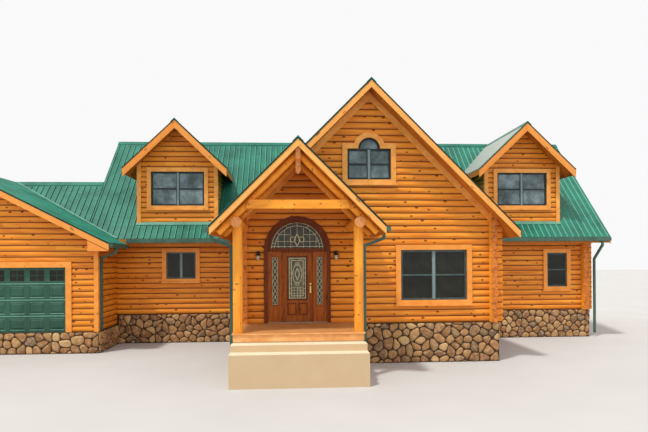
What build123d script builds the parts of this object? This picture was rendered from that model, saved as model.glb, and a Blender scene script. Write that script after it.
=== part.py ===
from build123d import *
import math
import os

# Log cabin with a steep front room, an entrance porch, two dormers and an attached garage.
# Millimetres. X runs to the right of the facade, Y away from the viewer, Z up.
# The origin is at the lowest ground level, under the middle of the entrance doorway,
# in the plane of the front room's wall.

# Storey heights above the lowest ground
floor_z = 1200
floor_thick = 146
front_sill_z = floor_z - 40
house_sill_z = floor_z - floor_thick
garage_floor_z = floor_z - 500
upper_floor_z = floor_z + 3250
upper_floor_thick = 250

# Log walls
course = 190.5
log_thick = 200
log_round = 26
log_bevel = 62
log_sides = 12
tail_out = 185
tail_side = 205

# Roof build-up, measured upright
metal = 22
cap_rise = 34
cap_half = 140
roof_thick = 220
board = 36

# House body
house_wall_y = 4780
house_half = 3760
house_eave = 595
house_top_z = floor_z + 3227
house_rake_left = -7549
house_rake_right = 11889
end_overhang = 600

# Front room with the tall gable
front_ridge_x = 2128
front_half = 3780
front_eave = 520
front_overhang = 553

# Porch
porch_front_y = -2610
deck_half = 1635
deck_front_y = -2260
deck_thick = 200
post_inset = 100
post_y = -2120
post_r = 125
plate_r = 135
plate_drop = 549
plate_front_y = -2500
rafter_r = 86
step_run = 420
step_tops = (floor_z - 235, floor_z - 400)
step_over = 40

# Dormers
dormer_xs = (-4355, 8745)
dormer_slope = 0.948
dormer_run = 1862
dormer_half = 1450
dormer_overhang = 534
dormer_drop = 12
dormer_peak = 1835

# Garage and the low roof that links it to the house
garage_ridge_x = -10997
garage_eave_top = floor_z + 2427
garage_half = 4439
garage_eave = 500
garage_wall_y = 2595
garage_overhang = 407
link_ridge_y = 6504

# Garage doors
garage_door_w = 2540
garage_door_h = 2134
garage_door_gap = 877
door_rows = 4
door_columns = 4
garage_casing = 190

# Entrance
arch_z = floor_z + 2140
arch_r = 870
arch_sides = 24
casing_w = 100
door_half = 452
door_h = 2025
door_thick = 45
door_gap = 6
sill_h = 30
frame_front = 15
frame_depth = 130

# Windows: trim width, sash width, and how far the parts reach from the wall's face
trim_w = 150
trim_out = 36
liner = 25
sash_w = 46
sash_in = 45
sash_depth = 42
pane = 10

# Foundation
stone_out = 60
foundation_in = 300

# Gutters and downspouts
gutter = 120
gutter_wall = 10
pipe_w = 75

house_ridge_y = house_wall_y + house_half
house_run = house_half + house_eave
ridge_z = house_top_z + house_half
front_run = front_half + front_eave
porch_ridge_z = ridge_z - front_ridge_x
link_ridge_z = ridge_z - (house_ridge_y - link_ridge_y)
house_left = house_rake_left + end_overhang
house_right = house_rake_right - end_overhang
house_back = 2 * house_ridge_y - house_wall_y
front_left = front_ridge_x - front_half
front_right = front_ridge_x + front_half
garage_left = garage_ridge_x - garage_half
garage_right = garage_ridge_x + garage_half
garage_back = 2 * link_ridge_y - garage_wall_y
garage_run = garage_half + garage_eave
garage_slope = (link_ridge_z - garage_eave_top) / garage_run
post_x = deck_half - post_inset
plate_z = porch_ridge_z - post_x - plate_drop
porch_run = front_run - front_ridge_x
under_floor = floor_z - floor_thick
wide = 3 * (house_rake_right - house_rake_left)

parts = {}


def box(x0, x1, y0, y1, z0, z1):
    """A block between three pairs of planes."""
    size = Box(x1 - x0, y1 - y0, z1 - z0)
    return Pos((x0 + x1) / 2, (y0 + y1) / 2, (z0 + z1) / 2) * size


def prism_y(points, y0, y1):
    """An outline in X and Z, running from y0 back to y1."""
    face = make_face(Polyline(*points, close=True))
    return extrude(Plane.XZ.offset(-y1) * face, amount=y1 - y0)


def prism_x(points, x0, x1):
    """An outline in Y and Z, running from x0 across to x1."""
    face = make_face(Polyline(*points, close=True))
    return extrude(Plane.YZ.offset(x0) * face, amount=x1 - x0)


def solids_of(shape):
    """The solids in a shape, whatever a cut has left it as."""
    if isinstance(shape, (list, tuple, ShapeList)):
        return [solid for item in shape for solid in solids_of(item)]
    return list(shape.solids())


def joined(*shapes):
    """One compound of solids that stay apart."""
    return Compound(children=[solid for shape in shapes for solid in solids_of(shape)])


def cut(shape, *tools):
    """A shape with each tool taken out of it."""
    for tool in tools:
        shape = shape - tool
    return shape


def facing_disc(radius, y0, y1):
    """A disc that faces the viewer, centred on X = Z = 0, its rim in short straight steps."""
    outline = Plane.XZ.offset(-y1) * RegularPolygon(radius, arch_sides)
    return extrude(outline, amount=y1 - y0)


def many_sided(radius, sides, height, z=0):
    """An upright prism whose regular outline stands in for a round one, centred at z."""
    return Pos(0, 0, z) * extrude(RegularPolygon(radius, sides), amount=height / 2, both=True)


class Roof:
    """Two slopes that meet at a level ridge, running along X or along Y."""

    def __init__(self, along, middle, top, slope, run, start, end):
        self.along = along
        self.middle = middle
        self.top = top
        self.slope = slope
        self.run = run
        self.start = start
        self.end = end

    def prism(self, points, start, end):
        maker = prism_x if self.along == "X" else prism_y
        return maker(points, start, end)

    def layer(self, upper, lower, start=None, end=None, side=0):
        """The stretch between two depths below the roof's surface, or one slope of it."""
        left = self.middle - (self.run if side <= 0 else 0)
        right = self.middle + (self.run if side >= 0 else 0)
        outline = self.edge(left, right, upper) + self.edge(left, right, lower)[::-1]
        start = self.start if start is None else start
        end = self.end if end is None else end
        return self.prism(outline, start, end)

    def edge(self, left, right, drop):
        points = [(left, self.height(left) - drop)]
        if left < self.middle < right:
            points.append((self.middle, self.top - drop))
        points.append((right, self.height(right) - drop))
        return points

    def height(self, across):
        return self.top - self.slope * abs(across - self.middle)

    def cap(self, start, end):
        """The folded strip over the ridge, on top of the metal."""
        left = self.middle - cap_half
        right = self.middle + cap_half
        outline = self.edge(left, right, -cap_rise) + self.edge(left, right, 0)[::-1]
        return self.prism(outline, start, end)

    def under(self, drop, half=None, start=None, end=None):
        """Everything below a depth under the roof's surface, down to the ground."""
        half = self.run if half is None else half
        left = self.middle - half
        right = self.middle + half
        outline = self.edge(left, right, drop) + [(right, 0), (left, 0)]
        start = self.start if start is None else start
        end = self.end if end is None else end
        return self.prism(outline, start, end)


house = Roof("X", house_ridge_y, ridge_z, 1.0, house_run, house_rake_left, house_rake_right)
front = Roof("Y", front_ridge_x, ridge_z, 1.0, front_run, -front_overhang, house_ridge_y)
porch = Roof("Y", 0, porch_ridge_z, 1.0, porch_run, porch_front_y, 0)
garage = Roof(
    "Y", garage_ridge_x, link_ridge_z, garage_slope, garage_run,
    garage_wall_y - garage_overhang, garage_back + garage_overhang,
)
link_run = link_ridge_y - (house_ridge_y - house_run)
link = Roof("X", link_ridge_y, link_ridge_z, 1.0, link_run, garage_ridge_x, house_left)
dormers = [
    Roof(
        "Y", x, ridge_z - dormer_drop, dormer_slope, dormer_run,
        house_wall_y - dormer_overhang, house_ridge_y - dormer_drop,
    )
    for x in dormer_xs
]


def courses(length, z0, z1):
    """Stacked logs, each rounded towards -Y by three flats, running along +X from X = 0."""
    count = math.ceil((z1 - z0) / course)
    outline = [(log_thick, 0), (log_round, 0)]
    for number in range(count):
        low = number * course
        high = low + course
        outline += [(0, low + log_bevel), (0, high - log_bevel), (log_round, high)]
    outline.append((log_thick, count * course))
    section = Plane(origin=(0, 0, z0), x_dir=(0, 1, 0), z_dir=(1, 0, 0))
    stack = extrude(section * make_face(Polyline(*outline, close=True)), amount=length)
    return stack & box(-1, length + 1, -1, log_thick + 1, z0, z1)


def wall_front(x0, x1, y, z0, z1):
    """A log wall that faces the viewer."""
    return Pos(x0, y, 0) * courses(x1 - x0, z0, z1)


def wall_back(x0, x1, y, z0, z1):
    """A log wall that faces away from the viewer."""
    return Pos(x1, y, 0) * Rot(0, 0, 180) * courses(x1 - x0, z0, z1)


def wall_right(x, y0, y1, z0, z1):
    """A log wall that faces +X."""
    return Pos(x, y0, 0) * Rot(0, 0, 90) * courses(y1 - y0, z0, z1)


def wall_left(x, y0, y1, z0, z1):
    """A log wall that faces -X."""
    return Pos(x, y1, 0) * Rot(0, 0, -90) * courses(y1 - y0, z0, z1)


class Window:
    """A trimmed window, drawn on a wall that faces the viewer with its face at Y = 0."""

    def __init__(self, x0, x1, z0, z1, place, across=2, rail=True, arch=0):
        self.x0 = x0
        self.x1 = x1
        self.z0 = z0
        self.z1 = z1
        self.place = place
        self.across = across
        self.rail = rail
        self.arch = arch

    def outline(self, grow, y0, y1):
        """The window's shape, grown evenly outwards."""
        shape = box(self.x0 - grow, self.x1 + grow, y0, y1, self.z0 - grow, self.z1 + grow)
        if self.arch:
            middle = (self.x0 + self.x1) / 2
            shape = shape + Pos(middle, 0, self.z1) * facing_disc(self.arch + grow, y0, y1)
        return shape

    def opening(self):
        return self.place * self.outline(liner, -log_thick, 2 * log_thick)

    def casing(self):
        trim = self.outline(trim_w, -trim_out, 0)
        lining = self.outline(liner, 0, log_thick)
        sill = box(
            self.x0 - trim_w - 25, self.x1 + trim_w + 25,
            -trim_out - 30, 0, self.z0 - trim_w - 20, self.z0 - trim_w + 30,
        )
        ring = trim + lining + sill - self.outline(0, -2 * log_thick, 2 * log_thick)
        return self.place * ring

    def lights(self):
        """The clear rectangles between the bars, and the half round if there is one."""
        width = (self.x1 - self.x0 - (self.across + 1) * sash_w) / self.across
        rows = 2 if self.rail else 1
        height = (self.z1 - self.z0 - (rows + 1) * sash_w) / rows
        found = []
        for column in range(self.across):
            x = self.x0 + sash_w + column * (width + sash_w)
            for row in range(rows):
                z = self.z0 + sash_w + row * (height + sash_w)
                found.append((x, x + width, z, z + height))
        return found

    def fan(self, radius, y0, y1):
        middle = (self.x0 + self.x1) / 2
        disc = Pos(middle, 0, self.z1) * facing_disc(radius, y0, y1)
        return disc & box(self.x0, self.x1, y0, y1, self.z1, self.z1 + radius)

    def sash(self):
        y0 = sash_in
        y1 = sash_in + sash_depth
        frame = self.outline(0, y0, y1)
        for x0, x1, z0, z1 in self.lights():
            frame = frame - box(x0, x1, y0, y1, z0, z1)
        if self.arch:
            frame = frame - self.fan(self.arch - sash_w, y0, y1)
        return self.place * frame

    def panes(self):
        y0 = sash_in + sash_depth / 2 - pane / 2
        y1 = y0 + pane
        found = [box(x0, x1, y0, y1, z0, z1) for x0, x1, z0, z1 in self.lights()]
        if self.arch:
            found.append(self.fan(self.arch - sash_w, y0, y1))
        return [self.place * piece for piece in found]


on_front = Pos(0, 0, 0)
on_house = Pos(0, house_wall_y, 0)
on_back = Pos(0, house_back, 0) * Rot(0, 0, 180)
on_right = Pos(house_right, 0, 0) * Rot(0, 0, 90)

big_sill = floor_z + 626
big_head = floor_z + 2109
loft_sill = floor_z + 4182
loft_head = floor_z + 5094
dormer_sill = floor_z + 3875
dormer_head = ridge_z - dormer_drop - dormer_peak

big_window = Window(3050, 5030, big_sill, big_head, on_front)
loft_window = Window(1484, 2772, loft_sill, loft_head, on_front, arch=325)
left_window = Window(-4784, -3705, floor_z + 1161, floor_z + 2142, on_house, rail=False)
right_window = Window(9715, 10497, floor_z + 745, floor_z + 2048, on_house, across=1)
dormer_windows = [
    Window(x - 975, x + 975, dormer_sill, dormer_head, on_house) for x in dormer_xs
]
back_windows = [
    Window(-x - 500, -x + 500, big_sill, big_head, on_back, across=1)
    for x in dormer_xs
]
end_windows = [
    Window(house_ridge_y - 500, house_ridge_y + 500, low, high, on_right, across=1)
    for low, high in ((big_sill, big_head), (dormer_sill, dormer_head))
]
windows = [big_window, loft_window, left_window, right_window]
windows += dormer_windows + back_windows + end_windows


# Foundation walls, standing on the lowest ground

def foundation_front(x0, x1, y, sill, ledge):
    """A foundation wall under a wall that faces the viewer, with a ledge for the floor."""
    outer = box(x0, x1, y - stone_out, y + log_thick, 0, sill)
    inner = box(x0, x1, y + log_thick, y + foundation_in, 0, ledge)
    return outer + inner


def foundation_side(x, inward, y0, y1, sill, ledge):
    """A foundation wall under a side wall whose face is at x; inward is +1 or -1."""
    edges = sorted((x - inward * stone_out, x + inward * log_thick))
    ledges = sorted((x + inward * log_thick, x + inward * foundation_in))
    outer = box(edges[0], edges[1], y0, y1, 0, sill)
    inner = box(ledges[0], ledges[1], y0, y1, 0, ledge)
    return outer + inner


def foundation_back(x0, x1, y, sill, ledge):
    """A foundation wall under a wall that faces away from the viewer."""
    outer = box(x0, x1, y - log_thick, y + stone_out, 0, sill)
    inner = box(x0, x1, y - foundation_in, y - log_thick, 0, ledge)
    return outer + inner


house_line = house_wall_y + foundation_in
wing_foundation = box(house_left - stone_out, front_left - stone_out,
                      house_wall_y - stone_out, house_line, 0, house_sill_z)
end_foundation = foundation_side(house_left, 1, house_line, house_back - foundation_in,
                                 house_sill_z, house_sill_z)
garage_ledge = garage_floor_z - 150
parts["foundation_front_walls"] = joined(
    foundation_front(front_left - stone_out, front_right + stone_out, 0,
                     front_sill_z, under_floor),
    wing_foundation,
    box(front_right + stone_out, house_right + stone_out, house_wall_y - stone_out, house_line,
        0, house_sill_z),
    box(front_left + foundation_in, front_right - foundation_in,
        house_wall_y - stone_out, house_line, 0, house_sill_z),
    foundation_front(garage_left - stone_out, garage_right + stone_out, garage_wall_y,
                     garage_floor_z, garage_ledge),
)
parts["foundation_side_walls"] = joined(
    foundation_side(front_left, 1, foundation_in, house_line, front_sill_z, under_floor)
    - box(-wide, wide, house_wall_y - stone_out, wide, house_sill_z, wide),
    foundation_side(front_right, -1, foundation_in, house_line, front_sill_z, under_floor)
    - box(-wide, wide, house_wall_y - stone_out, wide, house_sill_z, wide),
    end_foundation,
    foundation_side(house_right, -1, house_line, house_back - foundation_in,
                    house_sill_z, house_sill_z),
    foundation_side(garage_left, 1, garage_wall_y + foundation_in, garage_back - foundation_in,
                    garage_floor_z, garage_ledge),
    foundation_side(garage_right, -1, garage_wall_y + foundation_in, house_wall_y - stone_out,
                    garage_floor_z, garage_ledge),
)
parts["foundation_back_walls"] = joined(
    foundation_back(house_left - stone_out, house_right + stone_out, house_back,
                    house_sill_z, house_sill_z),
    foundation_back(garage_left - stone_out, house_left - stone_out, garage_back,
                    garage_floor_z, garage_ledge),
)

# Floors
inner_left = house_left + log_thick
inner_right = house_right - log_thick
inner_front = house_wall_y + log_thick
inner_back = house_back - log_thick
room_left = front_left + log_thick
room_right = front_right - log_thick
floor_plan = box(inner_left, inner_right, inner_front, inner_back, under_floor, floor_z)
floor_plan += box(room_left, room_right, log_thick, inner_front, under_floor, floor_z)
parts["main_floor"] = floor_plan

upper_bottom = upper_floor_z - upper_floor_thick
upper_plan = box(inner_left, inner_right, inner_front, inner_back, upper_bottom, upper_floor_z)
upper_plan = upper_plan & house.under(roof_thick)
loft_plan = box(room_left, room_right, log_thick, inner_front, upper_bottom, upper_floor_z)
parts["upper_floor"] = upper_plan + (loft_plan & front.under(roof_thick))

slab_left = garage_left + log_thick
slab_plan = box(slab_left, house_left - stone_out, garage_wall_y + log_thick,
                garage_back - log_thick, garage_ledge, garage_floor_z)
slab_plan += box(slab_left, garage_right - log_thick, garage_wall_y + log_thick,
                 house_wall_y - stone_out, garage_ledge, garage_floor_z)
parts["garage_slab"] = slab_plan

# House walls
front_inner = front.under(roof_thick)
house_inner = house.under(roof_thick)
gable_top = ridge_z


def trimmed(wall, inner, *holes):
    """A wall cut off under its roof and cut through for its windows."""
    return cut(wall & inner, *holes)


front_holes = [big_window.opening(), loft_window.opening()]
doorway = box(-arch_r, arch_r, -1, log_thick + 1, 0, arch_z)
doorway += Pos(0, 0, arch_z) * facing_disc(arch_r, -1, log_thick + 1)
parts["entrance_wall_left"] = trimmed(
    wall_front(room_left, -arch_r, 0, front_sill_z, gable_top), front_inner
)
parts["entrance_wall_right"] = trimmed(
    wall_front(arch_r, room_right, 0, front_sill_z, gable_top), front_inner, *front_holes
)
over_door = wall_front(-arch_r, arch_r, 0, front_sill_z, gable_top)
parts["entrance_wall_over"] = trimmed(over_door, front_inner, doorway)

parts["front_room_side_walls"] = joined(
    trimmed(wall_left(front_left, log_thick, house_wall_y, front_sill_z, gable_top), front_inner),
    trimmed(wall_right(front_right, log_thick, house_wall_y, front_sill_z, gable_top),
            front_inner),
)
parts["wing_front_walls"] = joined(
    trimmed(wall_front(house_left, front_left + log_thick, house_wall_y, house_sill_z, gable_top),
            house_inner, left_window.opening()),
    trimmed(wall_front(front_right - log_thick, house_right - log_thick, house_wall_y,
                       house_sill_z, gable_top),
            house_inner, right_window.opening()),
)
parts["end_walls"] = joined(
    trimmed(wall_left(house_left, inner_front, inner_back, house_sill_z, gable_top), house_inner),
    trimmed(wall_right(house_right, inner_front, inner_back, house_sill_z, gable_top),
            house_inner, *[window.opening() for window in end_windows]),
)
parts["back_wall"] = trimmed(
    wall_back(house_left + log_thick, house_right - log_thick, house_back, house_sill_z,
              gable_top),
    house_inner, *[window.opening() for window in back_windows]
)


# Garage walls and doors
garage_inner = garage.under(roof_thick)
door_xs = (
    garage_ridge_x - garage_door_gap - garage_door_w,
    garage_ridge_x + garage_door_gap,
)
garage_openings = [
    box(x, x + garage_door_w, garage_wall_y - log_thick, garage_wall_y + 2 * log_thick,
        0, garage_floor_z + garage_door_h)
    for x in door_xs
]
parts["garage_front_wall"] = trimmed(
    wall_front(garage_left, garage_right, garage_wall_y, garage_floor_z, gable_top),
    garage_inner, *garage_openings
)
parts["garage_side_walls"] = joined(
    trimmed(wall_left(garage_left, garage_wall_y + log_thick, garage_back - log_thick,
                      garage_floor_z, gable_top), garage_inner),
    trimmed(wall_right(garage_right, garage_wall_y + log_thick, house_wall_y,
                       garage_floor_z, gable_top), garage_inner, wing_foundation),
)
parts["garage_back_wall"] = trimmed(
    wall_back(garage_left, house_left, garage_back, garage_floor_z, gable_top),
    garage_inner, end_foundation
)

panel_gap = 90
panel_cut = 9
panel_frame = 34


def garage_door(x0):
    """A closed sectional door with a sunk panel in each field and lights along the top."""
    y0 = garage_wall_y + 80
    y1 = y0 + 45
    z0 = garage_floor_z
    pitch_x = garage_door_w / door_columns
    pitch_z = garage_door_h / door_rows
    door = box(x0, x0 + garage_door_w, y0, y1, z0, z0 + garage_door_h)
    panes = []
    for row in range(door_rows):
        for column in range(door_columns):
            left = x0 + column * pitch_x + panel_gap
            right = x0 + (column + 1) * pitch_x - panel_gap
            low = z0 + row * pitch_z + panel_gap
            high = z0 + (row + 1) * pitch_z - panel_gap
            if row == door_rows - 1:
                door -= box(left, right, y0, y1, low, high)
                panes.append(box(left, right, y0 + 15, y0 + 25, low, high))
                continue
            door -= box(left, right, y0, y0 + panel_cut, low, high)
    return door, panes


doors = [garage_door(x) for x in door_xs]
parts["garage_doors"] = joined(*[door for door, _ in doors])
parts["garage_door_glass"] = joined(*[pane for _, panes in doors for pane in panes])


def garage_door_trim(x0):
    """Flat boards up both sides of a garage door and across its head."""
    x1 = x0 + garage_door_w
    top = garage_floor_z + garage_door_h
    outer = box(x0 - garage_casing, x1 + garage_casing, garage_wall_y - trim_out, garage_wall_y,
                garage_floor_z, top + garage_casing)
    return outer - box(x0, x1, garage_wall_y - trim_out, garage_wall_y, 0, top)


corner_face = 145
corner_side = 115


def corner_boards(x, outward, y, back):
    """Two boards that cover a garage corner; outward and back give the ways it faces."""
    xs = sorted((x + outward * board, x - outward * (corner_face - board)))
    ys = sorted((y - back * board, y + back * corner_side))
    block = box(xs[0], xs[1], ys[0], ys[1], garage_floor_z, gable_top)
    inner_xs = sorted((x, x - outward * wide))
    inner_ys = sorted((y, y + back * wide))
    block -= box(inner_xs[0], inner_xs[1], inner_ys[0], inner_ys[1], 0, gable_top)
    return block & garage.under(roof_thick)


parts["garage_trim_boards"] = joined(
    *[garage_door_trim(x) for x in door_xs],
    corner_boards(garage_left, -1, garage_wall_y, 1),
    corner_boards(garage_right, 1, garage_wall_y, 1),
    corner_boards(garage_left, -1, garage_back, -1),
)

# Dormer walls, standing on the slope of the house roof
house_full = house.under(0)
dormer_z = house.height(house_wall_y)
dormer_fronts = []
dormer_sides = []
for x, roof, window in zip(dormer_xs, dormers, dormer_windows):
    inner = roof.under(roof_thick, end=house_ridge_y)
    left = x - dormer_half
    right = x + dormer_half
    face = wall_front(left, right, house_wall_y, dormer_z, gable_top)
    dormer_fronts.append(cut(face & inner, house_full, window.opening()))
    for side in (
        wall_left(left, inner_front, house_ridge_y, dormer_z, gable_top),
        wall_right(right, inner_front, house_ridge_y, dormer_z, gable_top),
    ):
        dormer_sides.append(cut(side & inner, house_full))
parts["dormer_front_walls"] = joined(*dormer_fronts)
parts["dormer_side_walls"] = joined(*dormer_sides)


# Crossed log ends at the corners of the log walls

def log_corner(x, outward, y, facing, z0, inner):
    """A corner where both walls' logs run past; outward and facing are +1 or -1."""
    side_wall = wall_right if outward > 0 else wall_left
    face_wall = wall_front if facing < 0 else wall_back
    xs = sorted((x, x - outward * log_thick))
    ys = sorted((y, y - facing * log_thick))
    core = box(xs[0], xs[1], ys[0], ys[1], z0, gable_top)
    past_y = sorted((y, y + facing * tail_out))
    past_x = sorted((x, x + outward * tail_side))
    core += side_wall(x, past_y[0], past_y[1], z0, gable_top)
    core += face_wall(past_x[0], past_x[1], y, z0, gable_top)
    return core & inner


# Roofs
lip = board + 12
house_body = house.under(0, start=house_left)
front_opening = front.under(roof_thick, half=front_half, start=0)
dormer_openings = [
    roof.under(roof_thick, half=dormer_half - log_thick, start=inner_front) for roof in dormers
]
garage_opening = garage.under(roof_thick, half=garage_half, start=garage_wall_y,
                              end=house_wall_y)
house_cuts = [front_opening, garage_opening] + dormer_openings
link_full = link.under(0)
house_slab = house.layer(0, roof_thick)
front_slab = front.layer(0, roof_thick)
garage_cuts = [link_full, house_body, house_slab]
link_cuts = [house_slab, garage.under(roof_thick)]

slope_start = box(-wide, wide, 0, house_wall_y, 0, ridge_z)
left_slope = house.layer(metal, roof_thick, end=front_ridge_x, side=-1)
right_slope = house.layer(metal, roof_thick, start=front_ridge_x, side=-1)
parts["house_eave_decks"] = joined(
    cut(left_slope & slope_start, *house_cuts), cut(right_slope & slope_start, *house_cuts)
)
parts["house_left_slope_deck"] = cut(left_slope, slope_start, *house_cuts)
parts["house_right_slope_deck"] = cut(right_slope, slope_start, *house_cuts)
parts["house_back_slope_deck"] = cut(house.layer(metal, roof_thick, side=1), *house_cuts)
parts["front_roof_deck"] = front.layer(metal, roof_thick) - house_full
parts["porch_roof_deck"] = porch.layer(metal, roof_thick) - front_slab
parts["dormer_roof_decks"] = joined(
    *[roof.layer(metal, roof_thick) - house_full for roof in dormers]
)
garage_deck = cut(garage.layer(metal, roof_thick), *garage_cuts)
link_deck = cut(link.layer(metal, roof_thick), *link_cuts)
parts["garage_roof_deck"] = garage_deck + link_deck

roofing = [
    cut(house.layer(0, metal, house.start - lip, house.end + lip), *house_cuts,
        link.under(metal, end=house_rake_left)),
    front.layer(0, metal, front.start - lip) - house_full,
    cut(garage.layer(0, metal, garage.start - lip, garage.end + lip), *garage_cuts),
    cut(link.layer(0, metal), *link_cuts),
]
roofing += [roof.layer(0, metal, roof.start - lip) - house_full for roof in dormers]
roofing.append(porch.layer(0, metal, porch.start - lip) - front_slab)
higher = [front.under(0)] + [roof.under(0) for roof in dormers]
roofing.append(cut(house.cap(house.start - lip, house.end + lip), *higher))
roofing.append(front.cap(front.start - lip, house_ridge_y) - house_full)
roofing.append(porch.cap(porch.start - lip, front.start - lip))
roofing.append(garage.cap(garage.start - lip, garage.end + lip) - link_full)
roofing.append(link.cap(garage_ridge_x, house.start - lip) - garage.under(0))
roofing += [roof.cap(roof.start - lip, house_ridge_y) - house_full for roof in dormers]
metal_roofing = roofing[0]
for sheet in roofing[1:]:
    metal_roofing = metal_roofing + sheet
parts["metal_roofing"] = metal_roofing

rake_depth = 250
porch_rake_depth = 225


def rake_board(roof, at, side, depth=rake_depth):
    """A board along one slope, fixed to the roof's edge; at is its nearer face."""
    return roof.layer(metal, depth, at, at + board, side)


def rake_boards(side):
    """The boards on one slope of each gable."""
    end_cuts = [link_full, garage.under(0)]
    found = [
        rake_board(front, front.start - board, side) - porch.under(0, start=porch.start - lip),
        rake_board(porch, porch.start - board, side, porch_rake_depth),
        rake_board(garage, garage.start - board, side),
        rake_board(garage, garage.end, side) - house_body,
        rake_board(house, house.end, side),
        cut(rake_board(house, house.start - board, -side), *end_cuts),
    ]
    return found + [rake_board(roof, roof.start - board, side) for roof in dormers]


parts["left_rake_boards"] = joined(*rake_boards(-1))
parts["right_rake_boards"] = joined(*rake_boards(1))


# Porch floor and steps
sill_front = -stone_out
deck_low = floor_z - deck_thick
deck = box(-deck_half, deck_half, deck_front_y, sill_front, deck_low, floor_z)
deck += box(-deck_half, deck_half, deck_front_y, 0, front_sill_z, floor_z)
parts["porch_deck"] = deck
parts["porch_base"] = box(-deck_half, deck_half, deck_front_y, sill_front, 0, deck_low)
step_half = deck_half + step_over
parts["upper_step"] = box(-step_half, step_half, deck_front_y - step_run, deck_front_y,
                          0, step_tops[0])
parts["lower_step"] = box(-step_half, step_half, deck_front_y - 2 * step_run,
                          deck_front_y - step_run, 0, step_tops[1])

# Porch logs
truss_y = -2300
inner_truss_y = -1050
beam_half = 60
beam_top = porch_ridge_z - roof_thick
beam_low = beam_top - 300
king_low = beam_low - 350
collar_z = floor_z + 3110
collar_depth = 220
collar_half = 1300
collar_front = -2470
collar_thick = 140
rafter_end = 1935
porch_inner = porch.under(roof_thick)
along_y = Rot(90, 0, 0)

plates = [
    Pos(x, plate_front_y / 2, plate_z) * along_y * many_sided(plate_r, log_sides, -plate_front_y)
    for x in (-post_x, post_x)
]
parts["porch_plates"] = joined(*plates)
post_height = plate_z - floor_z
posts = [
    Pos(x, post_y, floor_z + post_height / 2) * many_sided(post_r, log_sides, post_height) - plate
    for x, plate in zip((-post_x, post_x), plates)
]
parts["porch_posts"] = joined(*posts)

ridge_beam = box(-beam_half, beam_half, plate_front_y - 40, 0, beam_low, beam_top) & porch_inner
king_outline = [
    (-beam_half, beam_low), (beam_half, beam_low), (beam_half, king_low + 60),
    (0, king_low), (-beam_half, king_low + 60),
]
king = prism_y(king_outline, truss_y - rafter_r, truss_y + rafter_r)
parts["porch_ridge_beam"] = ridge_beam + king

collar_outline = [
    (-collar_half, collar_z), (collar_half, collar_z),
    (collar_half - 85, collar_z + collar_depth), (85 - collar_half, collar_z + collar_depth),
]
collar = prism_y(collar_outline, collar_front, collar_front + collar_thick)
parts["porch_collar_beam"] = collar


def rafter(side, y):
    """A round rafter under one slope of the porch roof."""
    drop = roof_thick + rafter_r * math.sqrt(2)
    length = rafter_end * math.sqrt(2)
    middle = rafter_end / 2
    log = many_sided(rafter_r, log_sides, length + 2 * rafter_r)
    log = Pos(side * middle, y, porch_ridge_z - drop - middle) * Rot(0, -45 * side, 0) * log
    half = box(beam_half, wide, y - wide, y + wide, 0, wide)
    if side < 0:
        half = box(-wide, -beam_half, y - wide, y + wide, 0, wide)
    return cut(log & half, *plates, *posts, collar)


parts["porch_rafters"] = joined(
    *[rafter(side, y) for side in (-1, 1) for y in (truss_y, inner_truss_y)]
)

# Corner logs, notched around the porch's deck and plates
parts["corner_logs"] = joined(
    cut(log_corner(front_left, -1, 0, -1, front_sill_z, front_inner), deck, *plates),
    log_corner(front_right, 1, 0, -1, front_sill_z, front_inner),
    log_corner(house_right, 1, house_wall_y, -1, house_sill_z, house_inner),
    log_corner(house_right, 1, house_back, 1, house_sill_z, house_inner),
    log_corner(house_left, -1, house_back, 1, house_sill_z, house_inner),
)

# Entrance
door_low = floor_z + sill_h + 8
door_top = door_low + door_h
transom_z = door_top + door_gap
side_in = door_half + door_gap
frame_back = frame_front + frame_depth
light_x = (561, 740)
light_z = (floor_z + 520, floor_z + 1920)
fan_r = arch_r - 84
fan_z = arch_z + 35
glass_y = frame_front + 60


def above(shape, z):
    return shape & box(-wide, wide, -wide, wide, z, 3 * wide)


def arched(half, y0, y1, low):
    """A round-headed outline of the doorway's kind."""
    head = Pos(0, 0, arch_z) * facing_disc(half, y0, y1)
    return box(-half, half, y0, y1, low, arch_z) + above(head, arch_z)


casing_r = arch_r + casing_w
parts["entry_casing"] = (
    arched(casing_r, -trim_out, 0, floor_z) - arched(arch_r, -trim_out, 0, floor_z)
)
parts["threshold"] = box(-arch_r, arch_r, -20, log_thick, front_sill_z, floor_z + sill_h) - (
    parts["porch_deck"]
)


def side_frame(side):
    """The posts and panel on one side of the door, around a tall narrow light."""
    xs = sorted((side * side_in, side * arch_r))
    lights = sorted((side * light_x[0], side * light_x[1]))
    frame = box(xs[0], xs[1], frame_front, frame_back, floor_z + sill_h, transom_z)
    return frame - box(lights[0], lights[1], frame_front, frame_back, light_z[0], light_z[1])


parts["entry_side_frames"] = joined(side_frame(-1), side_frame(1))
fan = above(Pos(0, 0, arch_z) * facing_disc(fan_r, frame_front, frame_back), fan_z)
parts["entry_transom"] = arched(arch_r, frame_front, frame_back, transom_z) - fan
glass = [above(Pos(0, 0, arch_z) * facing_disc(fan_r, glass_y, glass_y + pane), fan_z)]
for side in (-1, 1):
    lights = sorted((side * light_x[0], side * light_x[1]))
    glass.append(box(lights[0], lights[1], glass_y, glass_y + pane, light_z[0], light_z[1]))
parts["entry_glass"] = joined(*glass)

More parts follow.
